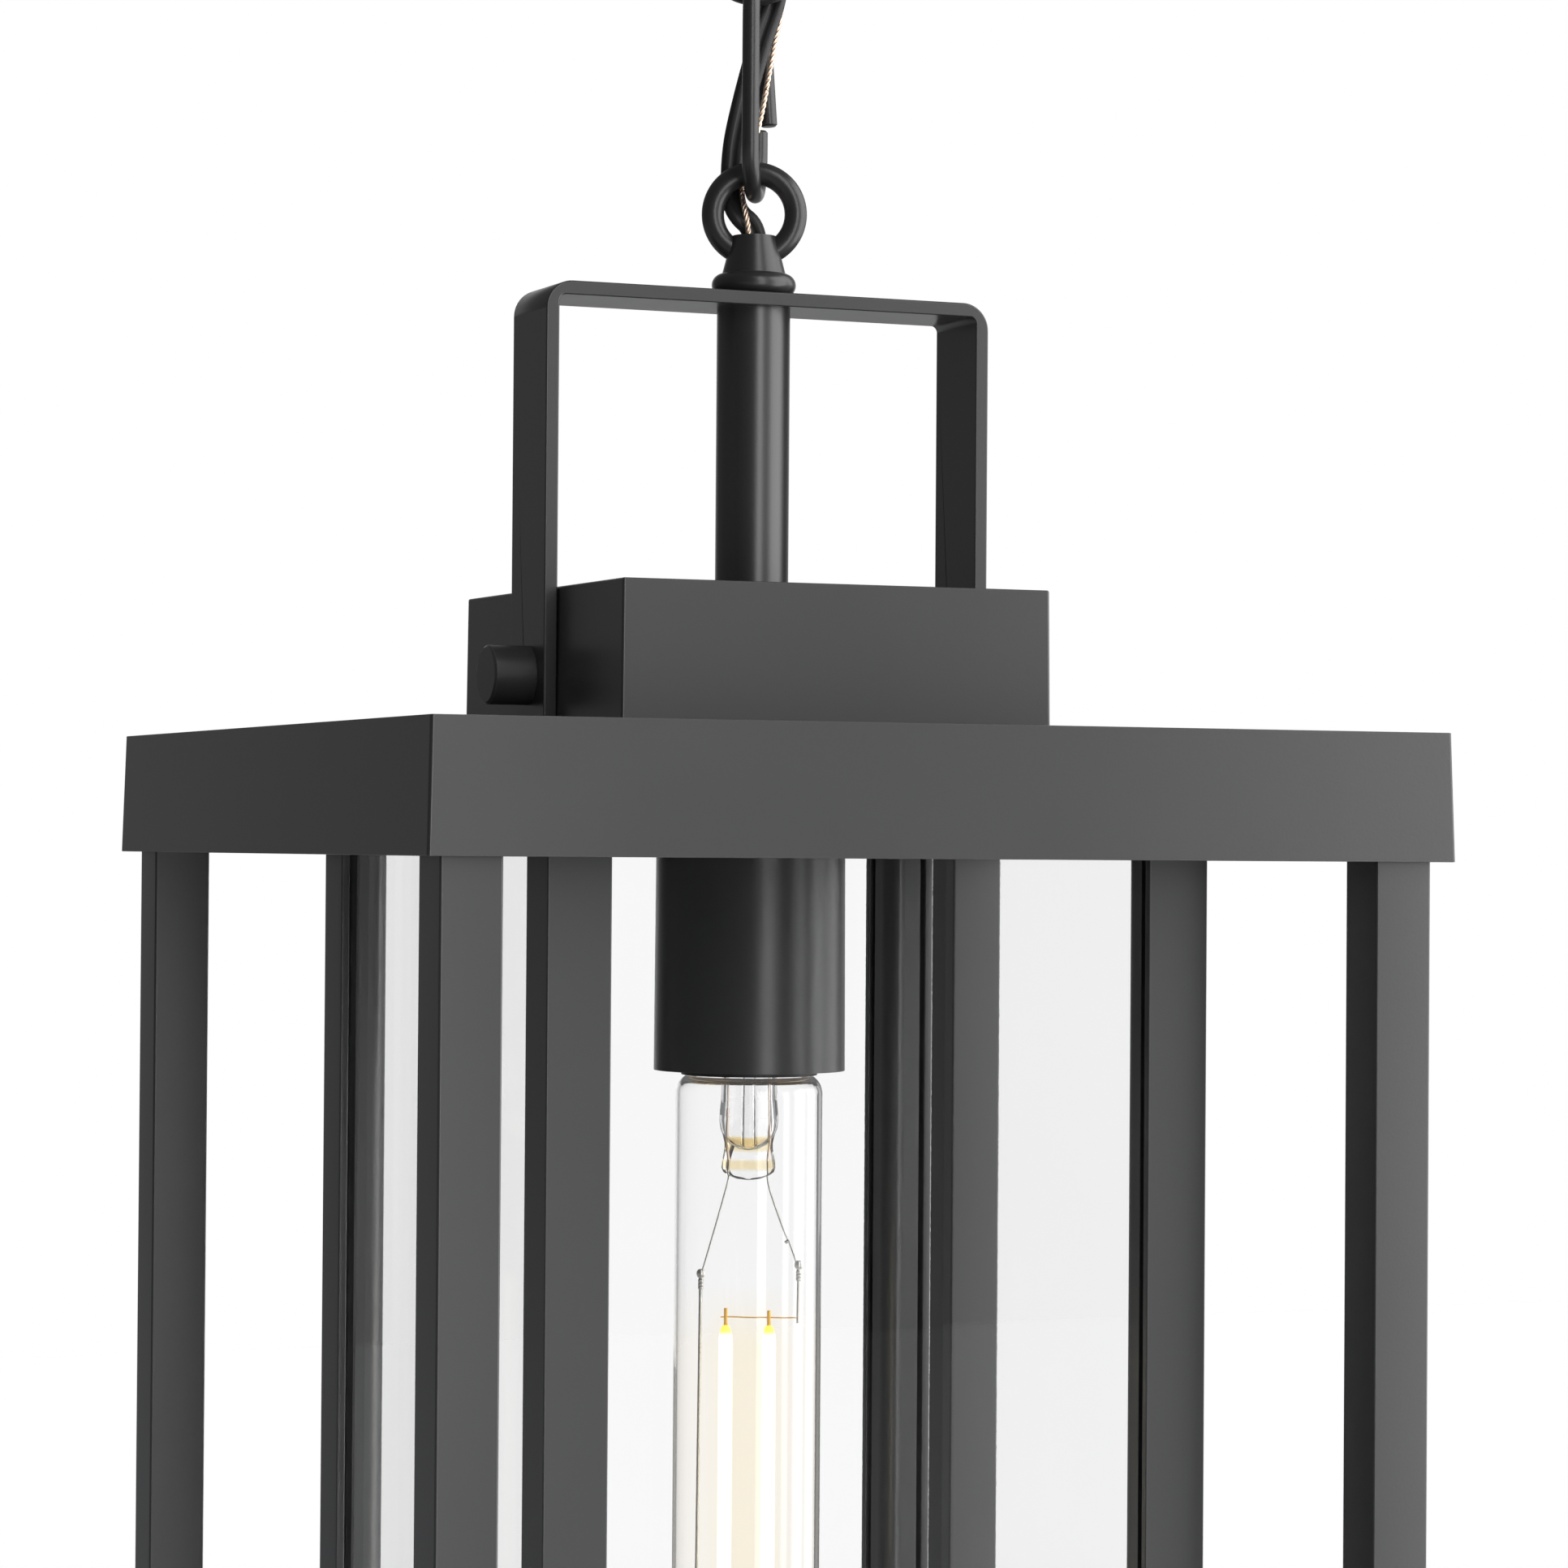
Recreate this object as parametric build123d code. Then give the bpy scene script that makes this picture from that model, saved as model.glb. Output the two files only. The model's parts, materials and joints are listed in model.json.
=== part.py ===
"""Hanging lantern: a square open cage round a glazed frame, hung by a cast loop and two links of
chain from a ceiling canopy.  Millimetres, +Z up, the lantern's front looking along -Y.  The origin
is the middle of the crossbar's slots, in the ceiling plane.

The lantern is drawn with heights counted from the lower edge of its roof, and is lowered to its
place under the ceiling when it is written.
"""

from build123d import *
import math
import os

# ---------------------------------------------------------------- driving dimensions, millimetres

# clearances
hole_clearance = 0.15       # radial room of a hole round a threaded tube, stud or screw
chain_gap = 0.3             # room between a link and what it hangs in
glass_gap = 0.3             # room at a pane's edges
bead_gap = 0.1              # room at a pane's faces
bulb_gap = 0.3              # room of the bulb's cap in the screw shell, all round and at its tip
fit_gap = 0.2               # room of the socket body in its cup

# roof, box and bail
roof_width = 222.0          # over the skirts' lower edges
roof_lean = 0.7             # how far each skirt leans out over its height
roof_height = 26.6
roof_sheet = 1.5
box_width = 97.6            # over the box's foot
box_lean = 0.25
box_height = 30.5
box_sheet = 1.2
bail_thickness = 3.0
bail_width = 21.0
bail_rise = 65.1            # from the top of the box to the top of the bail
bail_outer_radius = 6.0
bail_inner_radius = 1.5
cap_nut_diameter = 12.7
cap_nut_length = 9.4
cap_nut_height = 11.8       # of its axis above the roof
cap_nut_edge = 0.5
cap_nut_depth = 6.4         # of its blind hole
stud_diameter = 5.0
stud_tail = 1.5             # thread that shows past a nut
stud_nut_flats = 8.0
stud_nut_thickness = 4.0

# stem
stem_diameter = 16.0
stem_bore = 12.0
nipple_diameter = 10.0
nipple_bore = 7.0
nipple_tail = 1.5
lock_nut_flats = 14.0
lock_nut_thickness = 4.0
washer_diameter = 22.0
washer_thickness = 1.5

# cast loops
loop_diameter = 23.0        # over the ring
loop_rod = 4.9
loop_rise = 18.0            # from the foot to the middle of the ring
loop_thread = 8.8           # depth of the tapped hole in the foot
hub_height = 13.2
hub_top_diameter = 9.6
hub_foot_diameter = 13.9
hub_bore = 7.2
foot_diameter = 18.4        # over the rounded foot
foot_height = 4.9

# chain
link_wire = 3.75
link_length = 51.0
link_width = 24.5
link_cut_height = 17.8      # from the lower end of the link to its cut
link_cut_gap = 0.9
link_cut_bevel = 0.4
link_cut_offset = 2.1       # how far the wire above the cut stands aside
chain_turn = -22.9          # of the loop from the lantern's front, degrees
lower_link_turn = -5.0      # of the lower link from square to the loop, degrees

# ceiling
canopy_diameter = 127.0
canopy_depth = 24.0
canopy_sheet = 1.2
canopy_lip = 5.0            # height of the upright rim
canopy_crown = 42.0         # diameter of the flat crown
crossbar_length = 108.0
crossbar_width = 19.0
crossbar_sheet = 2.5
slot_spacing = 88.9
slot_width = 5.0
slot_length = 12.0
ground_screw_place = 22.0
ground_screw_diameter = 4.0
ground_screw_head = 8.0
ground_screw_head_height = 2.4

# cage and glazed frame
frame_drop = 330.0          # from the skirts' lower edge to the foot of the cage
cage_width = 214.5          # over the posts
rail_size = 12.7
rail_wall = 1.2
glazed_width = 147.0        # over the corner angles
angle_front_leg = 13.7
angle_side_leg = 12.4
angle_sheet = 2.0
glass_thickness = 3.0
bead_size = 8.0             # quarter-round bar behind the panes
bead_round = 4.1
sill_sheet = 2.0
sill_opening = 117.0
sill_rail_height = 12.0
tie_width = 12.7
tie_sheet = 3.0
tie_overlap = 13.0          # how far a tie reaches under the sill
tie_screw_diameter = 3.0
tie_screw_head = 6.0
tie_screw_head_height = 1.8

# socket
cup_diameter = 41.6         # at the mouth
cup_lean = 0.3              # how much narrower the cup is at its top, each side
cup_wall = 1.0
cup_drop = 46.4             # from the skirts' lower edge to the cup's mouth
bracket_width = 12.0
bracket_span = 24.0
bracket_foot = 5.4
bracket_sheet = 1.6
body_diameter = 36.0
body_length = 50.0
body_flange = 3.5           # height of the wider ring that fills the cup's mouth
lip_diameter = 29.6
lip_height = 1.0            # how far the lip stands below the cup
shell_wall = 0.4
shell_length = 25.0
socket_depth = 30.0
contact_width = 6.0
contact_sheet = 0.8
contact_length = 15.0
socket_screw_diameter = 3.0
socket_screw_length = 6.0
socket_screw_head = 5.0
socket_screw_head_height = 1.8

# bulb
bulb_length = 185.0         # over cap and glass
bulb_diameter = 32.0
bulb_shoulder_diameter = 28.0
bulb_shoulder_height = 3.8
bulb_glass = 0.8
cap_diameter = 26.2
cap_wall = 0.5
cap_bevel = 1.0             # where the shell turns in towards the insulator
cap_lip = 2.0               # how far it turns in
cap_shell_length = 21.0
cap_length = 27.0           # shell, insulator and tip
cap_rim_rise = 0.8          # of the cap's rim above the glass shoulder
insulator_top_diameter = 13.0
tip_diameter = 9.5
tip_height = 1.6
stem_glass_diameter = 12.8
stem_glass_wall = 1.1
stem_glass_length = 13.5    # from the shoulder to the pinch
stem_flare = 5.0            # height of the flare that seals the mount to the neck
exhaust_diameter = 3.4
pinch_width = 11.4
pinch_thickness = 4.4
pinch_length = 9.0
lead_diameter = 0.7
lead_start_spacing = 8.3    # where the leads leave the pinch
lead_spacing = 22.0         # where they turn straight down
lead_turn_drop = 43.5       # of that turn below the shoulder
crimp_diameter = 1.5
crimp_length = 2.2
cross_wire_drop = 52.5      # below the shoulder
filament_spacing = 9.4
filament_diameter = 2.0
filament_length = 76.0
filament_tab = 3.2          # bare metal between a filament and its cross wire

# cords: a plain round core stands for the flat twin cord
cord_diameter = 3.6
ground_diameter = 1.3

# Routes by hand, in the loop's own plane: along the ring, away from the viewer, and up.  The lower
# ones count from the lantern loop's foot and the upper ones down from the canopy loop's foot, and
# each starts or ends in its loop's bore.
cord_lower_route = [
    (0.3, 0.9, 10.3), (0.3, 0.9, 15.0), (-3.9, 1.0, 18.4), (-4.9, 4.6, 23.4),
    (-4.9, 5.4, 30.5), (-3.9, 4.2, 37.8), (-1.65, 3.3, 46.55),
]
cord_middle_route = [
    (-1.65, 3.3, 46.55), (0.6, 2.4, 55.3), (3.9, 4.1, 64.3), (5.0, 4.3, 73.0),
    (5.0, 2.0, 81.8), (4.9, -0.9, 89.8),
]
cord_upper_route = [
    (4.9, -0.9, -45.5), (4.8, -3.8, -37.5), (4.7, -5.3, -29.5), (4.7, -4.9, -23.4),
    (1.0, -3.9, -18.4), (0.9, 0.3, -15.0), (0.9, 0.3, -10.3),
]
ground_lower_route = [
    (-1.2, -1.9, 10.3), (-1.2, -1.9, 14.8), (-2.0, -1.9, 18.4), (-3.0, 2.5, 23.4),
    (-1.9, 4.8, 30.0), (1.0, 5.0, 38.0), (2.35, 4.9, 46.0),
]
ground_middle_route = [
    (2.35, 4.9, 46.0), (3.7, 4.8, 54.0), (5.4, 6.2, 62.5), (6.3, 6.6, 71.0),
    (6.3, 5.8, 81.8), (5.95, 5.2, 89.8),
]
ground_upper_route = [
    (5.95, 5.2, -45.5), (5.6, 4.6, -37.5), (4.6, 4.8, -29.5), (3.4, 3.2, -23.4),
    (-0.6, 1.9, -18.2), (-1.9, 1.2, -14.8), (-1.9, 1.2, -10.3),
]

# ---------------------------------------------------------------- sizes that follow from them

nipple_hole = nipple_diameter + 2 * hole_clearance
stud_hole = stud_diameter + 2 * hole_clearance
ring_radius = (loop_diameter - loop_rod) / 2
link_radius = (link_width - link_wire) / 2
link_pitch = link_length - link_wire                    # between the ends of a link's centreline
loop_to_link = ring_radius - loop_rod / 2 - chain_gap - link_wire / 2

roof_under = roof_height - roof_sheet
box_top = roof_height + box_height
bail_top = box_top + bail_rise
ring_height = bail_top + loop_rise
lower_link_height = ring_height + loop_to_link
upper_link_height = lower_link_height + link_pitch - link_wire - chain_gap
canopy_ring_height = upper_link_height + link_pitch + loop_to_link
canopy_foot = canopy_ring_height + loop_rise
ceiling = canopy_foot + canopy_depth
cut_height = link_cut_height - link_wire / 2            # of a link's cut above its centreline's foot

washer_under = roof_under - washer_thickness
cup_top = washer_under - lock_nut_thickness
cup_mouth = -cup_drop
bracket_top = cup_top - cup_wall
nipple_nut_top = bracket_top - bracket_sheet
nipple_foot = nipple_nut_top - lock_nut_thickness - nipple_tail
lip_foot = cup_mouth - lip_height
body_top = lip_foot + body_length
socket_floor = lip_foot + socket_depth
shell_bore = cap_diameter / 2 + bulb_gap                # radius inside the screw shell

shoulder = lip_foot - bulb_gap                          # where the bulb's glass shows
cap_rim = shoulder + cap_rim_rise
cap_tip = cap_rim + cap_length
neck_radius = cap_diameter / 2 - cap_wall - fit_gap
bulb_foot = cap_tip - bulb_length
pinch_top = shoulder - stem_glass_length
pinch_foot = pinch_top - pinch_length
cross_wire = shoulder - cross_wire_drop
filament_top = cross_wire - filament_tab
filament_foot = filament_top - filament_length
lower_cross_wire = filament_foot - filament_tab

frame_foot = -frame_drop
sill_under = frame_foot + rail_size
sill_top = sill_under + sill_sheet
half_cage = cage_width / 2
half_glazed = glazed_width / 2
pane_outside = half_glazed - angle_sheet - bead_gap
pane_inside = pane_outside - glass_thickness
tie_screw_place = half_glazed - tie_overlap / 2


# ---------------------------------------------------------------- helpers

def rod(diameter, low, high, at=(0, 0)):
    """An upright round bar between two heights."""
    return extrude(Pos(at[0], at[1], low) * Circle(diameter / 2), high - low)


def block(size, low, high, at=(0, 0)):
    """An upright rectangular block between two heights."""
    return extrude(Pos(at[0], at[1], low) * Rectangle(*size), high - low)


def turned(*outline):
    """A body turned on the lantern's axis from an outline of (radius, height) points or curves."""
    if not isinstance(outline[0], tuple):
        return revolve(Plane.XZ * make_face(Curve() + list(outline)), Axis.Z)
    return revolve(Plane.XZ * make_face(Polyline(*outline, close=True)), Axis.Z)


def hexagon_nut(flats, hole, low, thickness):
    """A hexagon nut whose corners are turned away at both ends."""
    corner = flats / math.sqrt(3)
    cut = corner - flats / 2
    high = low + thickness
    blank = extrude(Plane.XY.offset(low) * RegularPolygon(corner, 6), thickness)
    round_blank = turned(
        (0, low), (corner - cut, low), (corner, low + cut / 2),
        (corner, high - cut / 2), (corner - cut, high), (0, high),
    )
    return (blank & round_blank) - rod(hole, low, high)


def leaning_box(low, low_width, high, high_width):
    """A square block whose four sides lean."""
    return loft([
        Plane.XY.offset(low) * Rectangle(low_width, low_width),
        Plane.XY.offset(high) * Rectangle(high_width, high_width),
    ])


def four_corners(shape):
    """A piece from the front right corner, mirrored to all four corners."""
    right = [shape, mirror(shape, Plane.XZ)]
    return right + [mirror(piece, Plane.YZ) for piece in right]


def four_sides(shape):
    """A piece from the front, turned to all four sides."""
    return [Rot(0, 0, 90 * side) * shape for side in range(4)]


def group(shapes):
    """Several separate solids as one shape."""
    return Compound(children=[solid for shape in shapes for solid in shape.solids()])


def in_chain(shape):
    """Turns a piece from the loop's own plane to its place over the lantern."""
    return Rot(0, 0, chain_turn) * shape


# ---------------------------------------------------------------- roof, box and bail

def roof_tray():
    """A folded tray, open below, with leaning skirts and a hole for the threaded tube."""
    crown = roof_width - 2 * roof_lean
    outside = leaning_box(0, roof_width, roof_height, crown)
    inside = leaning_box(0, roof_width - 2 * roof_sheet, roof_under, crown - 2 * roof_sheet)
    return outside - inside - rod(nipple_hole, roof_under, roof_height)


def stud_cross_holes():
    """The holes of both bail studs, right through box and bail."""
    return Pos(0, 0, roof_height + cap_nut_height) * Rot(0, 90, 0) * Cylinder(stud_hole / 2, roof_width)


def top_box():
    """A folded box, open below, that stands on the roof."""
    crown = box_width - 2 * box_lean
    outside = leaning_box(roof_height, box_width, box_top, crown)
    inside = leaning_box(
        roof_height, box_width - 2 * box_sheet, box_top - box_sheet, crown - 2 * box_sheet
    )
    return outside - inside - rod(nipple_hole, box_top - box_sheet, box_top) - stud_cross_holes()


def bail():
    """A flat bar bent to a U, whose legs stand on the roof against two sides of the box."""
    inner = box_width / 2
    outer = inner + bail_thickness
    under = bail_top - bail_thickness
    outside = Rectangle(2 * outer, 2 * outer)
    outline = make_face(Polyline(
        (-outer, roof_height), (-outer, bail_top), (outer, bail_top), (outer, roof_height),
        (inner, roof_height), (inner, under), (-inner, under), (-inner, roof_height), close=True,
    ))
    top_corners = outline.vertices().group_by(Axis.Y)[-1]
    outline = fillet(top_corners, bail_outer_radius)
    inner_corners = [v for v in outline.vertices() if abs(v.Y - under) < 0.01]
    outline = fillet(inner_corners, bail_inner_radius)
    strap = extrude(Plane.XZ * outline, bail_width / 2, both=True)
    return strap - rod(nipple_hole, under, bail_top) - stud_cross_holes()


def on_both_legs(piece):
    """A piece of the right leg and its copy on the left one, raised to the studs' height."""
    right = Pos(0, 0, roof_height + cap_nut_height) * piece
    return group([right, mirror(right, Plane.YZ)])


def cap_nuts():
    """The two round blind nuts outside the bail."""
    face = Plane.YZ.offset(box_width / 2 + bail_thickness)
    nut = extrude(face * Circle(cap_nut_diameter / 2), cap_nut_length)
    nut = chamfer(nut.faces().sort_by(Axis.X)[-1].edges(), cap_nut_edge)
    return on_both_legs(nut - extrude(face * Circle(stud_diameter / 2), cap_nut_depth))


def bail_studs():
    """The two threaded studs, from inside the box to the bottom of the cap nuts."""
    start = box_width / 2 - box_sheet - box_lean - stud_nut_thickness - stud_tail
    end = box_width / 2 + bail_thickness + cap_nut_depth
    return on_both_legs(extrude(Plane.YZ.offset(start) * Circle(stud_diameter / 2), end - start))


def stud_nuts():
    """The two hexagon nuts inside the box."""
    start = box_width / 2 - box_sheet - box_lean - stud_nut_thickness
    nut = hexagon_nut(stud_nut_flats, stud_diameter, 0, stud_nut_thickness)
    return on_both_legs(Pos(start, 0, 0) * Rot(0, 90, 0) * nut)


# ---------------------------------------------------------------- stem and its nuts

def stem_tube():
    """The tube between the box and the bail."""
    high = bail_top - bail_thickness
    return rod(stem_diameter, box_top, high) - rod(stem_bore, box_top, high)


def stem_nipple():
    """The long threaded tube that holds loop, bail, stem, box, roof and socket together."""
    high = bail_top + loop_thread
    return rod(nipple_diameter, nipple_foot, high) - rod(nipple_bore, nipple_foot, high)


def roof_washer():
    """The washer under the roof."""
    return rod(washer_diameter, washer_under, roof_under) - rod(nipple_hole, washer_under, roof_under)


def stem_lock_nuts():
    """The nut under the roof's washer and the one under the socket's bracket."""
    lows = [cup_top, nipple_nut_top - lock_nut_thickness]
    return group([hexagon_nut(lock_nut_flats, nipple_diameter, low, lock_nut_thickness) for low in lows])


# ---------------------------------------------------------------- loops and chain

def cast_loop():
    """A loop casting, foot at height 0, ring in the XZ plane: ring, cone and rounded foot in one."""
    ring = Pos(0, 0, loop_rise) * Rot(90, 0, 0) * Torus(ring_radius, loop_rod / 2)
    flat = foot_diameter / 2 - foot_height / 2
    foot = turned(
        Line((0, 0), (flat, 0)),
        ThreePointArc((flat, 0), (foot_diameter / 2, foot_height / 2), (flat, foot_height)),
        Line((flat, foot_height), (0, foot_height)),
        Line((0, foot_height), (0, 0)),
    )
    cone = turned(
        (0, foot_height / 2), (hub_foot_diameter / 2, foot_height / 2),
        (hub_foot_diameter / 2, foot_height), (hub_top_diameter / 2, hub_height), (0, hub_height),
    )
    casting = ring + foot + cone
    return casting - rod(nipple_diameter, 0, loop_thread) - rod(hub_bore, loop_thread, hub_height)


def lantern_loop():
    """The loop on top of the bail."""
    return Pos(0, 0, bail_top) * in_chain(cast_loop())


def canopy_loop():
    """The same casting upside down under the canopy, turned square to the lantern's loop."""
    return Pos(0, 0, canopy_foot) * in_chain(Rot(0, 0, 90) * Rot(180, 0, 0) * cast_loop())


def chain_link():
    """A bent wire link in the YZ plane, its centreline's foot at height 0, cut in one leg."""
    bend = link_radius * 0.98
    path = FilletPolyline(
        (0, link_radius, cut_height - link_cut_gap / 2),
        (0, link_radius, 0),
        (0, -link_radius, 0),
        (0, -link_radius, link_pitch),
        (0, link_radius, link_pitch),
        (link_cut_offset, link_radius, cut_height + link_cut_gap / 2),
        radius=bend,
    )
    wire_link = sweep(Plane(origin=path @ 0, z_dir=path % 0) * Circle(link_wire / 2), path=path)
    return chamfer(wire_link.faces().filter_by(GeomType.PLANE).edges(), link_cut_bevel)


def lower_link():
    """The link in the lantern's loop, nearly square to it."""
    return Pos(0, 0, lower_link_height) * in_chain(Rot(0, 0, lower_link_turn) * chain_link())


def upper_link():
    """The link in the canopy's loop."""
    return Pos(0, 0, upper_link_height) * in_chain(Rot(0, 0, 90) * chain_link())


# ---------------------------------------------------------------- ceiling pieces

def ceiling_canopy():
    """A spun dish whose rim lies against the ceiling."""
    crown, top = canopy_crown / 2, ceiling - canopy_lip

    def dish(inset):
        """The dish filled up to the ceiling, with its outline moved in."""
        rim, low = canopy_diameter / 2 - inset, canopy_foot + inset
        return turned(
            Line((0, low), (crown, low)),
            TangentArc((crown, low), (rim, top), tangent=(1, 0)),
            Line((rim, top), (rim, ceiling)),
            Line((rim, ceiling), (0, ceiling)),
            Line((0, ceiling), (0, low)),
        )

    return dish(0) - dish(canopy_sheet) - rod(nipple_hole, canopy_foot, canopy_foot + canopy_sheet)


def crossbar():
    """The strip screwed to the outlet box, with two slots and a middle hole."""
    low = ceiling - crossbar_sheet
    bar = block((crossbar_length, crossbar_width), low, ceiling)
    bar = fillet(bar.edges().filter_by(Axis.Z), crossbar_width / 4)
    slot = extrude(Plane.XY.offset(low) * SlotOverall(slot_length, slot_width), crossbar_sheet)
    bar -= [Pos(side * slot_spacing / 2, 0, 0) * slot for side in (-1, 1)]
    bar -= rod(ground_screw_diameter, low, ceiling, (ground_screw_place, 0))
    return bar - rod(nipple_hole, low, ceiling)


def canopy_nipple():
    """The short threaded tube between the canopy's loop and the crossbar."""
    low = canopy_foot - loop_thread
    return rod(nipple_diameter, low, ceiling) - rod(nipple_bore, low, ceiling)


def canopy_lock_nuts():
    """The nut under the crossbar and the one inside the canopy's crown."""
    lows = [ceiling - crossbar_sheet - lock_nut_thickness, canopy_foot + canopy_sheet]
    return group([hexagon_nut(lock_nut_flats, nipple_diameter, low, lock_nut_thickness) for low in lows])


def ground_screw():
    """The pan-head screw that takes the earth wire."""
    under = ceiling - crossbar_sheet
    at = (ground_screw_place, 0)
    head = rod(ground_screw_head, under - ground_screw_head_height, under, at)
    head = fillet(head.faces().sort_by(Axis.Z)[0].edges(), ground_screw_head_height / 2)
    return head + rod(ground_screw_diameter, under, ceiling, at)


# ---------------------------------------------------------------- cage, glazed frame and glass

def cage_post():
    """A square tube post in the front right corner, closed at its foot."""
    middle = half_cage - rail_size / 2
    hollow = rail_size - 2 * rail_wall
    post = block((rail_size, rail_size), frame_foot, roof_under, (middle, -middle))
    return post - block((hollow, hollow), frame_foot + rail_wall, roof_under, (middle, -middle))


def cage_rails():
    """The four square tube rails between the feet of the posts."""
    length = cage_width - 2 * rail_size
    hollow = rail_size - 2 * rail_wall
    end = Plane.YZ.offset(-length / 2)
    rail = extrude(end * (Rectangle(rail_size, rail_size) - Rectangle(hollow, hollow)), length)
    return group(four_sides(Pos(0, -half_cage + rail_size / 2, frame_foot + rail_size / 2) * rail))


def corner_angle():
    """The angle in the glazed frame's front right corner."""
    edge = half_glazed
    inner = half_glazed - angle_sheet
    outline = make_face(Polyline(
        (edge, -edge), (edge - angle_front_leg, -edge), (edge - angle_front_leg, -inner),
        (inner, -inner), (inner, -edge + angle_side_leg), (edge, -edge + angle_side_leg),
        close=True,
    ))
    return extrude(Plane.XY.offset(sill_top) * outline, roof_under - sill_top)


def glass_pane(side):
    """A pane behind the angles.  The front and back ones cover the edges of the side ones."""
    covered = pane_inside if side % 2 else half_glazed - angle_sheet
    width = 2 * (covered - glass_gap)
    at = (0, -(pane_outside + pane_inside) / 2)
    pane = block((width, glass_thickness), sill_top + glass_gap, roof_under - glass_gap, at)
    return Rot(0, 0, 90 * side) * pane


def glass_beads():
    """The four quarter-round bars that hold the panes against the angles."""
    middle = pane_inside - bead_gap - bead_size / 2
    bar = block((bead_size, bead_size), sill_top, roof_under, (middle, -middle))
    inner_edge = bar.edges().filter_by(Axis.Z).sort_by(lambda edge: edge.center().X - edge.center().Y)[0]
    return group(four_corners(fillet(inner_edge, bead_round)))


def glass_sill():
    """The flat square frame under the panes, angles and beads."""
    plate = block((glazed_width, glazed_width), sill_under, sill_top)
    holes = four_sides(rod(tie_screw_diameter, sill_under, sill_top, (0, -tie_screw_place)))
    return plate - block((sill_opening, sill_opening), sill_under, sill_top) - holes


def sill_rail(side):
    """The upright strip between two angles that covers the foot of a pane."""
    leg = angle_side_leg if side % 2 else angle_front_leg
    at = (0, -half_glazed + angle_sheet / 2)
    strip = block((glazed_width - 2 * leg, angle_sheet), sill_top, sill_top + sill_rail_height, at)
    return Rot(0, 0, 90 * side) * strip


def frame_ties():
    """The four flat bars that hold the sill in the middle of the cage."""
    near, far = half_glazed - tie_overlap, half_cage - rail_size
    low = sill_under - tie_sheet
    bar = block((tie_width, far - near), low, sill_under, (0, -(near + far) / 2))
    return group(four_sides(bar - rod(tie_screw_diameter, low, sill_under, (0, -tie_screw_place))))


def tie_screws():
    """The four pan-head screws that go up through the ties into the sill."""
    at = (0, -tie_screw_place)
    under = sill_under - tie_sheet
    head = rod(tie_screw_head, under - tie_screw_head_height, under, at)
    head = fillet(head.faces().sort_by(Axis.Z)[0].edges(), tie_screw_head_height / 2)
    return group(four_sides(head + rod(tie_screw_diameter, under, sill_top, at)))


# ---------------------------------------------------------------- socket

def socket_cup():
    """The metal cup over the socket, closed above and a little wider at its mouth."""
    mouth = cup_diameter / 2
    crown = mouth - cup_lean
    hole = nipple_hole / 2
    return turned(
        (hole, cup_top), (crown, cup_top), (mouth, cup_mouth), (mouth - cup_wall, cup_mouth),
        (crown - cup_wall, bracket_top), (hole, bracket_top),
    )


def socket_bracket():
    """A strip bent to a U under the cup's top, whose feet are screwed to the socket's body."""
    half = bracket_span / 2
    toe = half + bracket_foot
    sole = body_top + bracket_sheet
    right = [
        (half, bracket_top), (half, sole), (toe, sole), (toe, body_top),
        (half - bracket_sheet, body_top), (half - bracket_sheet, nipple_nut_top),
    ]
    left = [(-x, height) for x, height in reversed(right)]
    strip = extrude(Plane.XZ * make_face(Polyline(*right, *left, close=True)), bracket_width / 2, both=True)
    strip -= [rod(socket_screw_diameter, body_top, sole, at) for at in socket_screw_places()]
    return strip - rod(nipple_hole, nipple_nut_top, bracket_top)


def socket_screw_places():
    """The middle of each foot of the bracket."""
    reach = (bracket_span + bracket_foot) / 2
    return [(-reach, 0), (reach, 0)]


def socket_screws():
    """The two screws that hold the bracket's feet on the socket's body."""
    sole = body_top + bracket_sheet
    screws = []
    for at in socket_screw_places():
        head = rod(socket_screw_head, sole, sole + socket_screw_head_height, at)
        screws.append(head + rod(socket_screw_diameter, body_top - socket_screw_length, sole, at))
    return group(screws)


def socket_body():
    """The insulating body: flange in the cup's mouth, lip below it, and the bore for the shell."""
    flange = cup_diameter / 2 - cup_wall - cup_lean - fit_gap
    bore = shell_bore + shell_wall
    flange_foot = cup_mouth + lip_height
    body = turned(
        (0, body_top), (body_diameter / 2, body_top),
        (body_diameter / 2, flange_foot + body_flange), (flange, flange_foot + body_flange),
        (flange, flange_foot), (lip_diameter / 2, flange_foot), (lip_diameter / 2, lip_foot),
        (bore, lip_foot), (bore, socket_floor), (0, socket_floor),
    )
    low = body_top - socket_screw_length
    return body - [rod(socket_screw_diameter, low, body_top, at) for at in socket_screw_places()]


def screw_shell():
    """The brass shell that lines the socket's bore."""
    high = lip_foot + shell_length
    return rod(2 * (shell_bore + shell_wall), lip_foot, high) - rod(2 * shell_bore, lip_foot, high)


def centre_contact():
    """The bent brass tongue over the tip of the bulb's cap."""
    low = cap_tip + bulb_gap
    half = contact_length / 2
    outline = make_face(Polyline(
        (-half, socket_floor), (-half, socket_floor - contact_sheet),
        (-half / 3, socket_floor - contact_sheet), (-half / 4, low), (half, low),
        (half, low + contact_sheet), (-half / 8, low + contact_sheet), (-half / 5, socket_floor),
        close=True,
    ))
    return extrude(Plane.XZ * outline, contact_width / 2, both=True)


# ---------------------------------------------------------------- bulb

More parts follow.
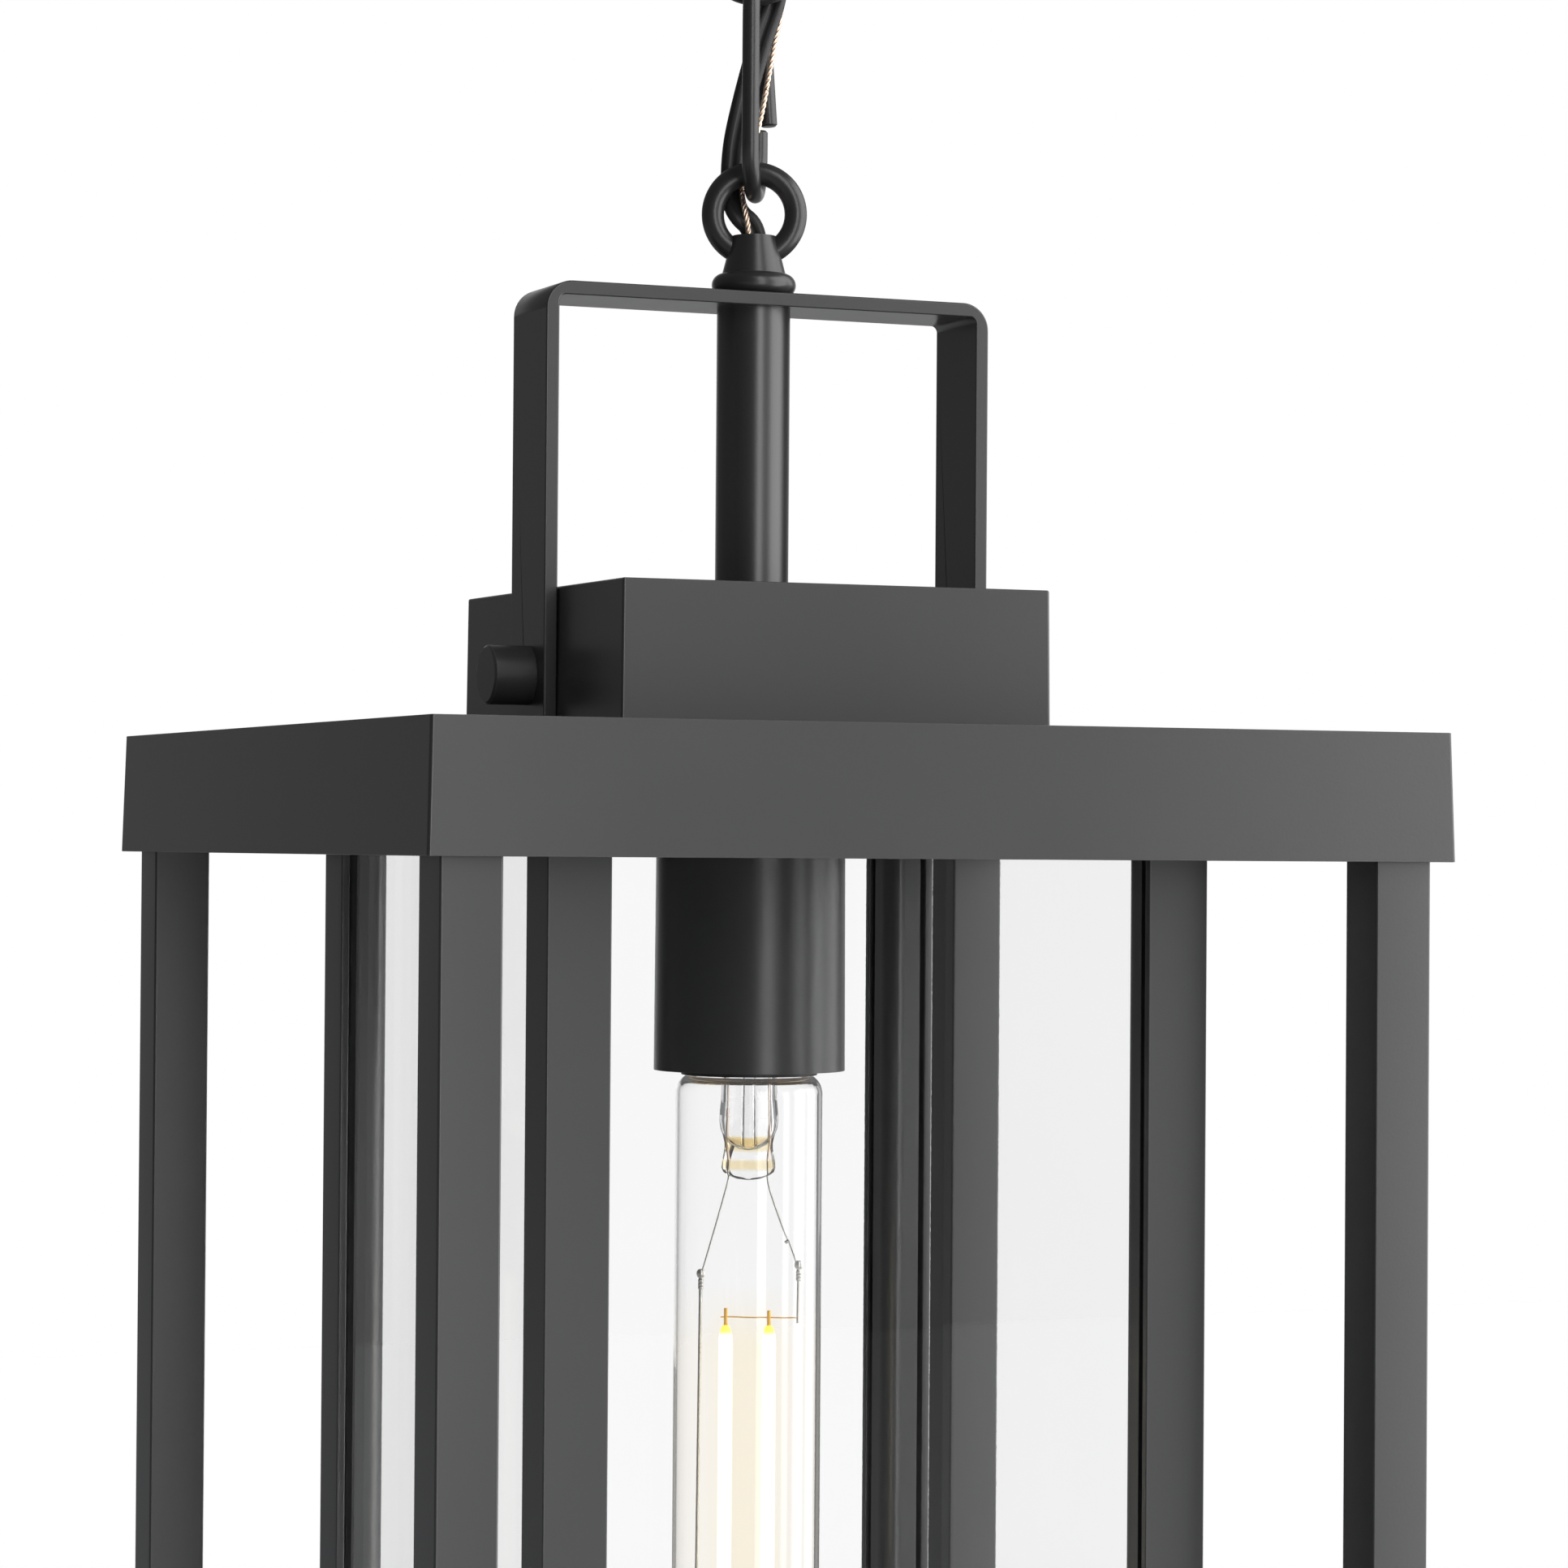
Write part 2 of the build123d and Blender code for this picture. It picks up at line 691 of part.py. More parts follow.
def bulb_envelope():
    """The long clear tube of the bulb: a narrow neck inside the cap, a shoulder and a domed foot."""

    def outline(inset):
        """Half the tube's outline, closed along the axis."""
        neck = neck_radius - inset
        wide = bulb_diameter / 2 - inset
        lip = bulb_shoulder_diameter / 2 - inset
        top = cap_rim + cap_shell_length / 2
        straight = shoulder - bulb_shoulder_height
        dome = bulb_foot + bulb_diameter / 2
        quarter = wide / math.sqrt(2)
        return [
            Line((0, top), (neck, top)), Line((neck, top), (neck, shoulder - inset)),
            Line((neck, shoulder - inset), (lip, shoulder - inset)),
            TangentArc((wide, straight), (lip, shoulder - inset), tangent=(0, 1)),
            Line((wide, straight), (wide, dome)),
            ThreePointArc((wide, dome), (quarter, dome - quarter), (0, dome - wide)),
            Line((0, dome - wide), (0, top)),
        ]

    hollow = turned(*outline(bulb_glass))
    return turned(*outline(0)) - hollow


def bulb_cap():
    """The thin metal shell of the bulb's cap."""
    high = cap_rim + cap_shell_length
    outer, inner = cap_diameter / 2, cap_diameter / 2 - cap_wall
    return turned(
        (outer, cap_rim), (outer, high - cap_bevel), (outer - cap_bevel, high),
        (inner - cap_lip, high), (inner - cap_lip, high - cap_wall),
        (inner, high - cap_bevel - cap_wall), (inner, cap_rim),
    )


def cap_insulator():
    """The dark glass cone between the cap's shell and its tip."""
    low = cap_rim + cap_shell_length
    high = cap_tip - tip_height
    wide = cap_diameter / 2 - cap_wall - cap_lip
    return turned((0, low), (wide, low), (insulator_top_diameter / 2, high), (0, high))


def cap_contact():
    """The domed solder tip of the cap."""
    dome = (tip_diameter**2 / 4 + tip_height**2) / (2 * tip_height)
    return rod(tip_diameter, cap_tip - tip_height, cap_tip) & Pos(0, 0, cap_tip - dome) * Sphere(dome)


def glass_stem():
    """The glass mount inside the bulb: a tube flared out to the neck above and pinched flat below,
    with the exhaust tube in it."""
    top = cap_rim + cap_shell_length / 2
    wide, wall = stem_glass_diameter / 2, stem_glass_wall
    tube = rod(2 * wide, pinch_top, top - stem_flare) - rod(2 * (wide - wall), pinch_top, top - stem_flare)
    seal = neck_radius - bulb_glass
    flare = turned(
        (wide - wall, top - stem_flare), (wide, top - stem_flare), (seal, top - wall), (seal, top),
        (seal - wall, top),
    )
    exhaust = rod(exhaust_diameter, pinch_top, top)
    pinch = rod(2 * wide, pinch_foot, pinch_top)
    for plane, end in ((Plane.XZ, pinch_width / 2), (Plane.YZ, pinch_thickness / 2)):
        narrow = (pinch_top + pinch_foot) / 2
        outline = make_face(Polyline(
            (-wide, pinch_top), (wide, pinch_top), (end, narrow), (end, pinch_foot),
            (-end, pinch_foot), (-end, narrow), close=True,
        ))
        pinch &= extrude(plane * outline, wide, both=True)
    return tube + flare + exhaust + pinch


def wire(diameter, *points):
    """A thin wire bent through points."""
    path = Polyline(*points)
    start = Plane(origin=path @ 0, z_dir=path % 0)
    return sweep(start * Circle(diameter / 2), path=path, transition=Transition.ROUND)


def lead_wires():
    """The two leads with their crimps: the near one ends at the upper cross wire, the far one
    runs on to the lower."""
    turn = shoulder - lead_turn_drop
    start, wide = lead_start_spacing / 2, lead_spacing / 2
    leads = []
    for side, foot in ((1, cross_wire), (-1, lower_cross_wire)):
        lead = wire(lead_diameter, (side * start, 0, pinch_foot), (side * wide, 0, turn), (side * wide, 0, foot))
        leads.append(lead + rod(crimp_diameter, turn - crimp_length, turn, (side * wide, 0)))
    return group(leads)


def cross_wires():
    """The wire from the near lead over both filaments, and the one under them to the far lead."""
    wide = lead_spacing / 2 - lead_diameter / 2
    reach = filament_spacing / 2 + filament_diameter / 2
    upper = wire(lead_diameter, (-reach, 0, cross_wire), (wide, 0, cross_wire))
    lower = wire(lead_diameter, (-wide, 0, lower_cross_wire), (reach, 0, lower_cross_wire))
    return group([upper, lower])


def filaments():
    """The two glowing rods, with a bare metal tab at each end."""
    rods = []
    for side in (-1, 1):
        at = (side * filament_spacing / 2, 0)
        glow = rod(filament_diameter, filament_foot, filament_top, at)
        upper = rod(lead_diameter, filament_top, cross_wire - lead_diameter / 2, at)
        lower = rod(lead_diameter, lower_cross_wire + lead_diameter / 2, filament_foot, at)
        rods.append(glow + upper + lower)
    return group(rods)


# ---------------------------------------------------------------- cords

def cord(diameter, route, foot, name):
    """A round cord along a hand-made route above (or below) the foot of a loop."""
    points = [Vector(x, y, foot + z) for x, y, z in route]
    runs = [second - first for first, second in zip(points, points[1:])]
    radii = []
    for before, after in zip(runs, runs[1:]):
        half_turn = math.radians(before.get_angle(after)) / 2
        radii.append(0.45 * min(before.length, after.length) / math.tan(half_turn))
    path = FilletPolyline(*points, radius=radii)
    tube = sweep(Plane(origin=path @ 0, z_dir=path % 0) * Circle(diameter / 2), path=path)
    share = tube.volume / (math.pi * diameter**2 / 4 * path.length)
    print(f"{name}: {path.length:.1f} mm, radii {[round(r, 1) for r in radii]}, volume share {share:.4f}")
    return in_chain(tube)


def wires_in(low, high, cord_at, ground_at):
    """The twin cord and the earth wire inside a threaded tube."""
    return in_chain(group([rod(cord_diameter, low, high, cord_at), rod(ground_diameter, low, high, ground_at)]))


def stem_wires():
    """The wires from the lantern's loop down to the socket."""
    high = bail_top + cord_lower_route[0][2]
    return wires_in(body_top, high, cord_lower_route[0][:2], ground_lower_route[0][:2])


def canopy_wires():
    """The wires from the canopy's loop up into the outlet box."""
    low = canopy_foot + cord_upper_route[-1][2]
    return wires_in(low, ceiling, cord_upper_route[-1][:2], ground_upper_route[-1][:2])


# ---------------------------------------------------------------- all pieces

def pieces():
    """Every node's name and shape."""
    nodes = {
        "ceiling_canopy": ceiling_canopy(),
        "crossbar": crossbar(),
        "canopy_nipple": canopy_nipple(),
        "canopy_lock_nuts": canopy_lock_nuts(),
        "ground_screw": ground_screw(),
        "canopy_loop": canopy_loop(),
        "canopy_wires": canopy_wires(),
        "upper_link": upper_link(),
        "lower_link": lower_link(),
        "lantern_loop": lantern_loop(),
        "bail": bail(),
        "cap_nuts": cap_nuts(),
        "bail_studs": bail_studs(),
        "stud_nuts": stud_nuts(),
        "stem_tube": stem_tube(),
        "stem_nipple": stem_nipple(),
        "stem_wires": stem_wires(),
        "top_box": top_box(),
        "roof_tray": roof_tray(),
        "roof_washer": roof_washer(),
        "stem_lock_nuts": stem_lock_nuts(),
        "cage_rails": cage_rails(),
        "glass_beads": glass_beads(),
        "glass_sill": glass_sill(),
        "frame_ties": frame_ties(),
        "tie_screws": tie_screws(),
        "socket_cup": socket_cup(),
        "socket_bracket": socket_bracket(),
        "socket_screws": socket_screws(),
        "socket_body": socket_body(),
        "screw_shell": screw_shell(),
        "centre_contact": centre_contact(),
        "bulb_envelope": bulb_envelope(),
        "bulb_cap": bulb_cap(),
        "cap_insulator": cap_insulator(),
        "cap_contact": cap_contact(),
        "glass_stem": in_chain(glass_stem()),
        "lead_wires": in_chain(lead_wires()),
        "cross_wires": in_chain(cross_wires()),
        "filaments": in_chain(filaments()),
    }
    corners = ["front_right", "back_right", "front_left", "back_left"]
    for name, post, angle in zip(corners, four_corners(cage_post()), four_corners(corner_angle())):
        nodes["cage_post_" + name] = post
        nodes["corner_angle_" + name] = angle
    for side, name in enumerate(["front", "right", "back", "left"]):
        nodes["glass_pane_" + name] = glass_pane(side)
    nodes["sill_rails"] = group([sill_rail(side) for side in range(4)])
    for kind, diameter, routes in (
        ("supply_cord", cord_diameter, (cord_lower_route, cord_middle_route, cord_upper_route)),
        ("earth_wire", ground_diameter, (ground_lower_route, ground_middle_route, ground_upper_route)),
    ):
        for part, route, foot in zip(("lower", "middle", "upper"), routes, (bail_top, bail_top, canopy_foot)):
            name = f"{kind}_{part}"
            nodes[name] = cord(diameter, route, foot, name)
    return nodes


def main():
    os.makedirs("parts", exist_ok=True)
    for name, shape in pieces().items():
        export_step(Pos(0, 0, -ceiling) * shape, f"parts/{name}.step")


if __name__ == "__main__":
    main()
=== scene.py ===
import json
import math

import bmesh
import bpy
from mathutils import Matrix, Vector


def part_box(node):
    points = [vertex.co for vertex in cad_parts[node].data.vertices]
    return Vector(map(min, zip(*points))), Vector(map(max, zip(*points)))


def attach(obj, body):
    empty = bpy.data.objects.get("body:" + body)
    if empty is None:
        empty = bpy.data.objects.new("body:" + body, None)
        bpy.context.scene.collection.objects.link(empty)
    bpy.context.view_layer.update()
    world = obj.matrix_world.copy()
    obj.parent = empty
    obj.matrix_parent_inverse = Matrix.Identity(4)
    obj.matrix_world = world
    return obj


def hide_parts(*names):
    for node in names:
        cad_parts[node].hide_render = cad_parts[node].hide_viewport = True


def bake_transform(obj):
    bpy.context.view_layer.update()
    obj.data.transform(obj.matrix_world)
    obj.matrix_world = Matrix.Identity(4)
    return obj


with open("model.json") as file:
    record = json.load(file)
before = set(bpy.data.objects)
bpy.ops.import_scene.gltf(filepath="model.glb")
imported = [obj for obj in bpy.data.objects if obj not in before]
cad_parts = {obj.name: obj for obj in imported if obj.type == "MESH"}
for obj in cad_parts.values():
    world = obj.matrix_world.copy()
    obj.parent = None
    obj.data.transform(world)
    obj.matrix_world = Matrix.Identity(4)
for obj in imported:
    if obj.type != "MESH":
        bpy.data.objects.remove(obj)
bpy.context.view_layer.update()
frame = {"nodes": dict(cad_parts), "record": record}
mm = 0.001
node_names = sorted(frame["nodes"])

# %% [markdown]
# ## The camera
# A lantern is usually looked at from a little below its roof, with a long lens that keeps its
# uprights upright.  A 106 mm lens a metre away does that.  The camera could be aimed with a
# constraint, but that leaves its roll open.  So its matrix is made of three turns: 22.9 degrees to
# the right, a little up and a little roll.
# %% Camera
camera_data = bpy.data.cameras.new("camera")
camera_data.lens = 105.98
camera_data.sensor_width = 36.0
camera = bpy.data.objects.new("camera", camera_data)
bpy.context.scene.collection.objects.link(camera)
camera_place = (-0.38523, -0.92980, -0.27910)
camera_turn, camera_tip, camera_roll = math.radians(22.926), math.radians(0.767), math.radians(0.4168)
camera.matrix_world = (
    Matrix.Translation(camera_place)
    @ Matrix.Rotation(-camera_turn, 4, "Z")
    @ Matrix.Rotation(math.radians(90) + camera_tip, 4, "X")
    @ Matrix.Rotation(camera_roll, 4, "Z")
)
bpy.context.scene.camera = camera
print("camera", [round(v, 4) for v in camera.location], "lens", camera_data.lens)

# %% [markdown]
# ## The cords
# Two things climb from the lantern to the ceiling through the chain: a flat twin cord with a ribbed
# black sheath, 5.2 mm wide, and a bare earth wire of twisted copper.  Each one leaves the bore of
# the lantern's loop, winds past two links and goes into the bore of the canopy's loop.
#
# Both could be round tubes with a striped material, but the cord's two lobes and the wire's twist
# are shapes, and they show against the light.  So each is a mesh swept along a smooth spline.  It is
# cut in three where it rests on a link, because each third then bends over one joint of the chain.
# The points below are the same that the metalwork's cord follows.  Each says in mm how far it lies
# along, away from and above the foot of the lantern's loop or of the canopy's, as the loop faces.
# %% Where the cords run
chain_turn = math.radians(-22.9)                # how the loops are turned from the lantern's front
loop_foot, canopy_loop_foot = -0.1593, -0.024
chain_axis = Matrix.Rotation(chain_turn, 4, "Z")
cord_routes = {
    "lower": (loop_foot, [
        (0.3, 0.9, 10.3), (0.3, 0.9, 15.0), (-3.9, 1.0, 18.4), (-4.9, 4.6, 23.4),
        (-4.9, 5.4, 30.5), (-3.9, 4.2, 37.8), (-1.65, 3.3, 46.55),
    ]),
    "middle": (loop_foot, [
        (-1.65, 3.3, 46.55), (0.6, 2.4, 55.3), (3.9, 4.1, 64.3), (5.0, 4.3, 73.0),
        (5.0, 2.0, 81.8), (4.9, -0.9, 89.8),
    ]),
    "upper": (canopy_loop_foot, [
        (4.9, -0.9, -45.5), (4.8, -3.8, -37.5), (4.7, -5.3, -29.5), (4.7, -4.9, -23.4),
        (1.0, -3.9, -18.4), (0.9, 0.3, -15.0), (0.9, 0.3, -10.3),
    ]),
}
earth_routes = {
    "lower": (loop_foot, [
        (-1.2, -1.9, 10.3), (-1.2, -1.9, 14.8), (-2.0, -1.9, 18.4), (-3.0, 2.5, 23.4),
        (-1.9, 4.8, 30.0), (1.0, 5.0, 38.0), (2.35, 4.9, 46.0),
    ]),
    "middle": (loop_foot, [
        (2.35, 4.9, 46.0), (3.7, 4.8, 54.0), (5.4, 6.2, 62.5), (6.3, 6.6, 71.0),
        (6.3, 5.8, 81.8), (5.95, 5.2, 89.8),
    ]),
    "upper": (canopy_loop_foot, [
        (5.95, 5.2, -45.5), (5.6, 4.6, -37.5), (4.6, 4.8, -29.5), (3.4, 3.2, -23.4),
        (-0.6, 1.9, -18.2), (-1.9, 1.2, -14.8), (-1.9, 1.2, -10.3),
    ]),
}


def smooth_line(name, foot, route, spacing):
    """The route's spline, read back as evenly spaced points."""
    curve = bpy.data.curves.new(name + "_route", "CURVE")
    curve.dimensions = "3D"
    curve.resolution_u = 24
    spline = curve.splines.new("NURBS")
    spline.points.add(len(route) - 1)
    for point, (along, away, up) in zip(spline.points, route):
        place = chain_axis @ Vector((along * mm, away * mm, foot + up * mm))
        point.co = (*place, 1.0)
    spline.order_u = 3
    spline.use_endpoint_u = True
    holder = bpy.data.objects.new(name + "_route", curve)
    bpy.context.scene.collection.objects.link(holder)
    bpy.context.view_layer.update()
    line = bpy.data.meshes.new_from_object(holder.evaluated_get(bpy.context.evaluated_depsgraph_get()))
    dense = [v.co.copy() for v in line.vertices]
    bpy.data.objects.remove(holder)
    bpy.data.curves.remove(curve)
    bpy.data.meshes.remove(line)
    length = sum((b - a).length for a, b in zip(dense, dense[1:]))
    count = max(2, round(length / spacing))
    points, walked, target = [dense[0]], 0.0, length / count
    for a, b in zip(dense, dense[1:]):
        step = (b - a).length
        while walked + step >= target * len(points) and len(points) < count:
            points.append(a.lerp(b, (target * len(points) - walked) / step))
        walked += step
    return points + [dense[-1]], length


loop_distance = round(canopy_loop_foot - loop_foot, 4)
print("routes of", len(cord_routes) + len(earth_routes), "lengths over", loop_distance, "m")

# %% [markdown]
# ## Sweeping
# A curve's own bevel could carry a section along a line, but it chooses for itself how the section
# turns, and the flat cord would twist at random.  Each ring here takes its width from a direction
# that the piece chooses, made square to the line.
# %% Sweep a section along a line
def sweep_section(name, lines, section, width_at):
    """A mesh of closed rings along each line.  section gives (across, through) in metres."""
    mesh = bmesh.new()
    for line in lines:
        rings = []
        for i, place in enumerate(line):
            before, after = line[max(i - 1, 0)], line[min(i + 1, len(line) - 1)]
            ahead = (after - before).normalized()
            wide = width_at(place)
            wide = (wide - ahead * wide.dot(ahead)).normalized()
            thick = ahead.cross(wide)
            rings.append([mesh.verts.new(place + wide * across + thick * through)
                          for across, through in section])
        for low, high in zip(rings, rings[1:]):
            for i in range(len(section)):
                j = (i + 1) % len(section)
                mesh.faces.new((low[i], low[j], high[j], high[i])).smooth = True
        mesh.faces.new(rings[0][::-1])
        mesh.faces.new(rings[-1])
    bmesh.ops.recalc_face_normals(mesh, faces=mesh.faces)
    data = bpy.data.meshes.new(name)
    mesh.to_mesh(data)
    mesh.free()
    piece = bpy.data.objects.new(name, data)
    bpy.context.scene.collection.objects.link(piece)
    return piece


# %% [markdown]
# ## The flat twin cord
# A lamp cord holds two wires side by side in one sheath, so its section is two round lobes with a
# web between them, and fine ribs run along it.  Two cylinders would show a gap at the web, so one
# closed outline is drawn round both lobes and swept.  The cord lies flat to the front below and
# turns by 50 degrees on its way up.
# %% The flat twin cord
cord_width, cord_thickness = 5.2 * mm, 2.7 * mm
lobe_arc = 1.44 * math.pi                       # how much of each lobe stands free of the web
turn_start, turn_height, turn_angle = -0.095, 0.06, math.radians(50)


def twin_section(ribs=7, rib_depth=0.09 * mm, points=22):
    """Two ribbed lobes side by side, joined by a web, going round once."""
    lobe = cord_thickness / 2
    middle = cord_width / 2 - lobe
    outline = []
    for side in (1, -1):
        for i in range(points):
            turn = lobe_arc * (i / (points - 1) - 0.5)
            reach = lobe - rib_depth * (0.5 - 0.5 * math.cos(turn / lobe_arc * 2 * math.pi * ribs))
            outline.append((side * (middle + reach * math.cos(turn)), side * reach * math.sin(turn)))
    return outline


def facing(place):
    """The cord's flat direction at a place on its way up."""
    climb = min(max((place.z - turn_start) / turn_height, 0.0), 1.0)
    return chain_axis @ (Matrix.Rotation(climb * turn_angle, 4, "Z") @ Vector((1, 0, 0)))


cords = {}


def hang(piece, stands_for, length):
    """Hide the length of the metalwork's cord that a piece stands for, and keep the piece."""
    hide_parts(stands_for)
    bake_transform(piece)
    cords[stands_for] = piece
    print(stands_for, round(length * 1000, 1), "mm,", len(piece.data.polygons), "faces")


for part, (foot, route) in cord_routes.items():
    line, length = smooth_line("supply_cord_" + part, foot, route, 0.7 * mm)
    piece = sweep_section("twin_cord_" + part, [line], twin_section(), facing)
    hang(piece, "supply_cord_" + part, length)

# %% [markdown]
# ## The earth wire
# Three thin plies of copper are laid round each other.  Straight plies could be twisted and then
# bent, but their ends would shift.  So each ply is a helix about the same spline, which keeps the
# wire 1.3 mm thick and shows the lay of the strands.
# %% The earth wire
earth_diameter, ply_diameter, lay_length = 1.3 * mm, 0.62 * mm, 4.2 * mm


def circle_section(radius, points):
    """A plain round section."""
    return [(radius * math.cos(2 * math.pi * i / points), radius * math.sin(2 * math.pi * i / points))
            for i in range(points)]


def twisted(line, ply, plies):
    """One ply's own line, wound round the wire's line."""
    reach = (earth_diameter - ply_diameter) / 2
    wound, walked = [], 0.0
    for i, place in enumerate(line):
        before, after = line[max(i - 1, 0)], line[min(i + 1, len(line) - 1)]
        ahead = (after - before).normalized()
        across = (Vector((1, 0, 0)) - ahead * ahead.x).normalized()
        walked += (place - before).length
        turn = 2 * math.pi * (walked / lay_length + ply / plies)
        wound.append(place + reach * (across * math.cos(turn) + ahead.cross(across) * math.sin(turn)))
    return wound


for part, (foot, route) in earth_routes.items():
    line, length = smooth_line("earth_wire_" + part, foot, route, 0.35 * mm)
    plies = [twisted(line, ply, 3) for ply in range(3)]
    piece = sweep_section("earth_plies_" + part, plies, circle_section(ply_diameter / 2, 8),
                          lambda place: Vector((1, 0, 0)))
    hang(piece, "earth_wire_" + part, length)

# %% [markdown]
# ## Working by hand
# The pieces below could be written out as lists of vertices.  They are modelled as at the screen
# instead: something simple is added, then extruded, moved and resized in edit mode.  An operator
# acts on all that is selected, and the metalwork is still selected after loading, so every piece
# starts by letting go of everything.
# %% Helpers for modelling
pole, merge_reach = 0.01, 0.03 * mm             # a ring of radius pole, in mm, is merged to one point


def let_go():
    """Nothing selected, object mode."""
    if bpy.context.mode != "OBJECT":
        bpy.ops.object.mode_set(mode="OBJECT")
    bpy.ops.object.select_all(action="DESELECT")


def settle(name, smooth_angle=40):
    """Name the active piece, put its place into its mesh and shade it."""
    piece = bpy.context.active_object
    piece.name = piece.data.name = name
    bpy.ops.object.transform_apply(location=True, rotation=True, scale=True)
    bpy.ops.object.shade_smooth_by_angle(angle=math.radians(smooth_angle))
    return piece


def grow_rings(name, rings, points=40, smooth_angle=40):
    """A closed turned piece, grown ring by ring from (across, through, height) in mm."""
    let_go()
    across, through, height = rings[0]
    bpy.ops.mesh.primitive_circle_add(vertices=points, radius=1.0)
    bpy.ops.object.mode_set(mode="EDIT")
    bpy.ops.mesh.select_all(action="SELECT")
    bpy.ops.transform.resize(value=(across * mm, through * mm, 1))
    bpy.ops.transform.translate(value=(0, 0, height * mm))
    for (a, t, h), (wide, deep, high) in zip(rings, rings[1:]):
        bpy.ops.mesh.extrude_edges_move(TRANSFORM_OT_translate={"value": (0, 0, (high - h) * mm)})
        bpy.ops.transform.resize(value=(wide / a, deep / t, 1), center_override=(0, 0, high * mm))
    bpy.ops.mesh.select_all(action="SELECT")
    bpy.ops.mesh.remove_doubles(threshold=merge_reach)
    bpy.ops.mesh.normals_make_consistent(inside=False)
    bpy.ops.object.mode_set(mode="OBJECT")
    return settle(name, smooth_angle)


def joined(name, pieces):
    """Several pieces made one."""
    let_go()
    for piece in pieces:
        piece.select_set(True)
    bpy.context.view_layer.objects.active = pieces[0]
    bpy.ops.object.join()
    pieces[0].name = pieces[0].data.name = name
    return pieces[0]


def turned_to_chain(piece):
    """Turn a finished piece about the lantern's axis to face as the chain's loop does."""
    let_go()
    piece.select_set(True)
    bpy.context.view_layer.objects.active = piece
    piece.matrix_world = chain_axis @ piece.matrix_world
    bpy.ops.object.transform_apply(location=True, rotation=True, scale=True)
    return piece


glass_shoulder = (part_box("socket_body")[0].z - 0.3 * mm) * 1000     # mm, just under the socket
print("the bulb's shoulder is at", round(glass_shoulder, 2), "mm")

# %% [markdown]
# ## The bulb's glass mount
# Inside a tubular bulb a glass tube hangs from the neck.  It is heated and pinched flat below, which
# leaves a swelling, a waist and a second swelling, and a drop-shaped foot.  A narrow tube for pumping
# out the bulb runs down inside it.  It could be one solid drop, but glass shows what is inside it.
# So rings are extruded up the inside and down the outside, which gives the wall a real thickness to
# bend light.  Below the waist they are narrower through than across, where the pinch flattened it.
# %% Glass mount
mount_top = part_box("glass_stem")[1].z * 1000
mount_drop = 22.7                               # mm from the shoulder to the mount's foot
outside = [(11.5, 11.5, mount_top - 0.4), (8.2, 8.2, mount_top - 2.6), (6.3, 6.3, mount_top - 5.2)]
outside += [(across, through, glass_shoulder - drop) for across, through, drop in (
    (6.05, 6.05, 0.0), (6.1, 6.1, 5.0), (6.35, 6.35, 7.6), (6.45, 6.4, 9.7), (6.2, 5.6, 11.4),
    (5.65, 4.5, 12.9), (5.3, 3.7, 14.4), (5.25, 3.2, 15.6), (5.5, 2.8, 17.2), (5.8, 2.6, 18.8),
    (5.85, 2.5, 20.0), (5.5, 2.3, 20.9), (4.6, 2.1, 21.6), (2.6, 1.5, 22.4), (pole, pole, mount_drop))]
inside = [(across, through, glass_shoulder - drop) for across, through, drop in (
    (pole, pole, 15.9), (1.9, 1.4, 15.6), (3.6, 2.0, 14.6), (4.5, 2.8, 13.2), (4.95, 3.9, 11.6),
    (5.2, 5.0, 9.6), (5.0, 5.0, 5.0), (4.95, 4.95, 0.0))]
inside += [(5.2, 5.2, mount_top - 5.2), (7.2, 7.2, mount_top - 2.0), (11.0, 11.0, mount_top - 0.1)]
mount_shell = grow_rings("mount_shell", inside + outside)
exhaust_tube = grow_rings("exhaust_tube", [
    (1.0, 1.0, glass_shoulder - 15.2), (1.0, 1.0, mount_top), (1.5, 1.5, mount_top),
    (1.5, 1.5, glass_shoulder - 13.0), (1.75, 1.6, glass_shoulder - 15.2),
    (1.0, 1.0, glass_shoulder - 15.2)], points=24)
glass_mount = turned_to_chain(joined("glass_mount", [mount_shell, exhaust_tube]))
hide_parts("glass_stem")
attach(glass_mount, "bulb")
print("glass mount", len(glass_mount.data.polygons), "faces")

# %% [markdown]
# ## Leads and crimps
# Two thin wires come down inside the mount.  Each is thin nickel above, a thicker copper-clad length
# where the glass grips it, and steel below, which slants out to a crimp.  In the crimp it takes hold
# of a stiffer wire that runs straight down the bulb.  Cylinders end to end would break at each bend,
# so the wires are paths with thickness.  A crimp is a ribbed ferrule under a folded knob.
# %% Bent wires, and a piece beside the axis
def bent_wire(name, points, diameter, order=3):
    """A wire through given points in mm: a path with thickness, made a mesh."""
    let_go()
    bpy.ops.curve.primitive_nurbs_path_add()
    curve = bpy.context.active_object.data
    curve.splines.clear()
    spline = curve.splines.new("NURBS")
    spline.points.add(len(points) - 1)
    for point, place in zip(spline.points, points):
        point.co = (*[v * mm for v in place], 1.0)
    spline.order_u = order
    spline.use_endpoint_u = True
    spline.resolution_u = 8
    curve.bevel_depth = diameter / 2 * mm
    curve.bevel_resolution = 3
    curve.use_fill_caps = True
    bpy.ops.object.convert(target="MESH")
    return settle(name, 60)


def moved_across(piece, across):
    """The active piece's mesh, moved sideways by so many mm."""
    bpy.ops.object.mode_set(mode="EDIT")
    bpy.ops.mesh.select_all(action="SELECT")
    bpy.ops.transform.translate(value=(across * mm, 0, 0))
    bpy.ops.object.mode_set(mode="OBJECT")
    return piece


# %% Leads
lead_out = glass_shoulder - 21.5
crimp_left, crimp_right = glass_shoulder - 43.6, glass_shoulder - 41.6
lead_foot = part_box("lead_wires")[0].z * 1000
cross_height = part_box("cross_wires")[1].z * 1000 - 0.35


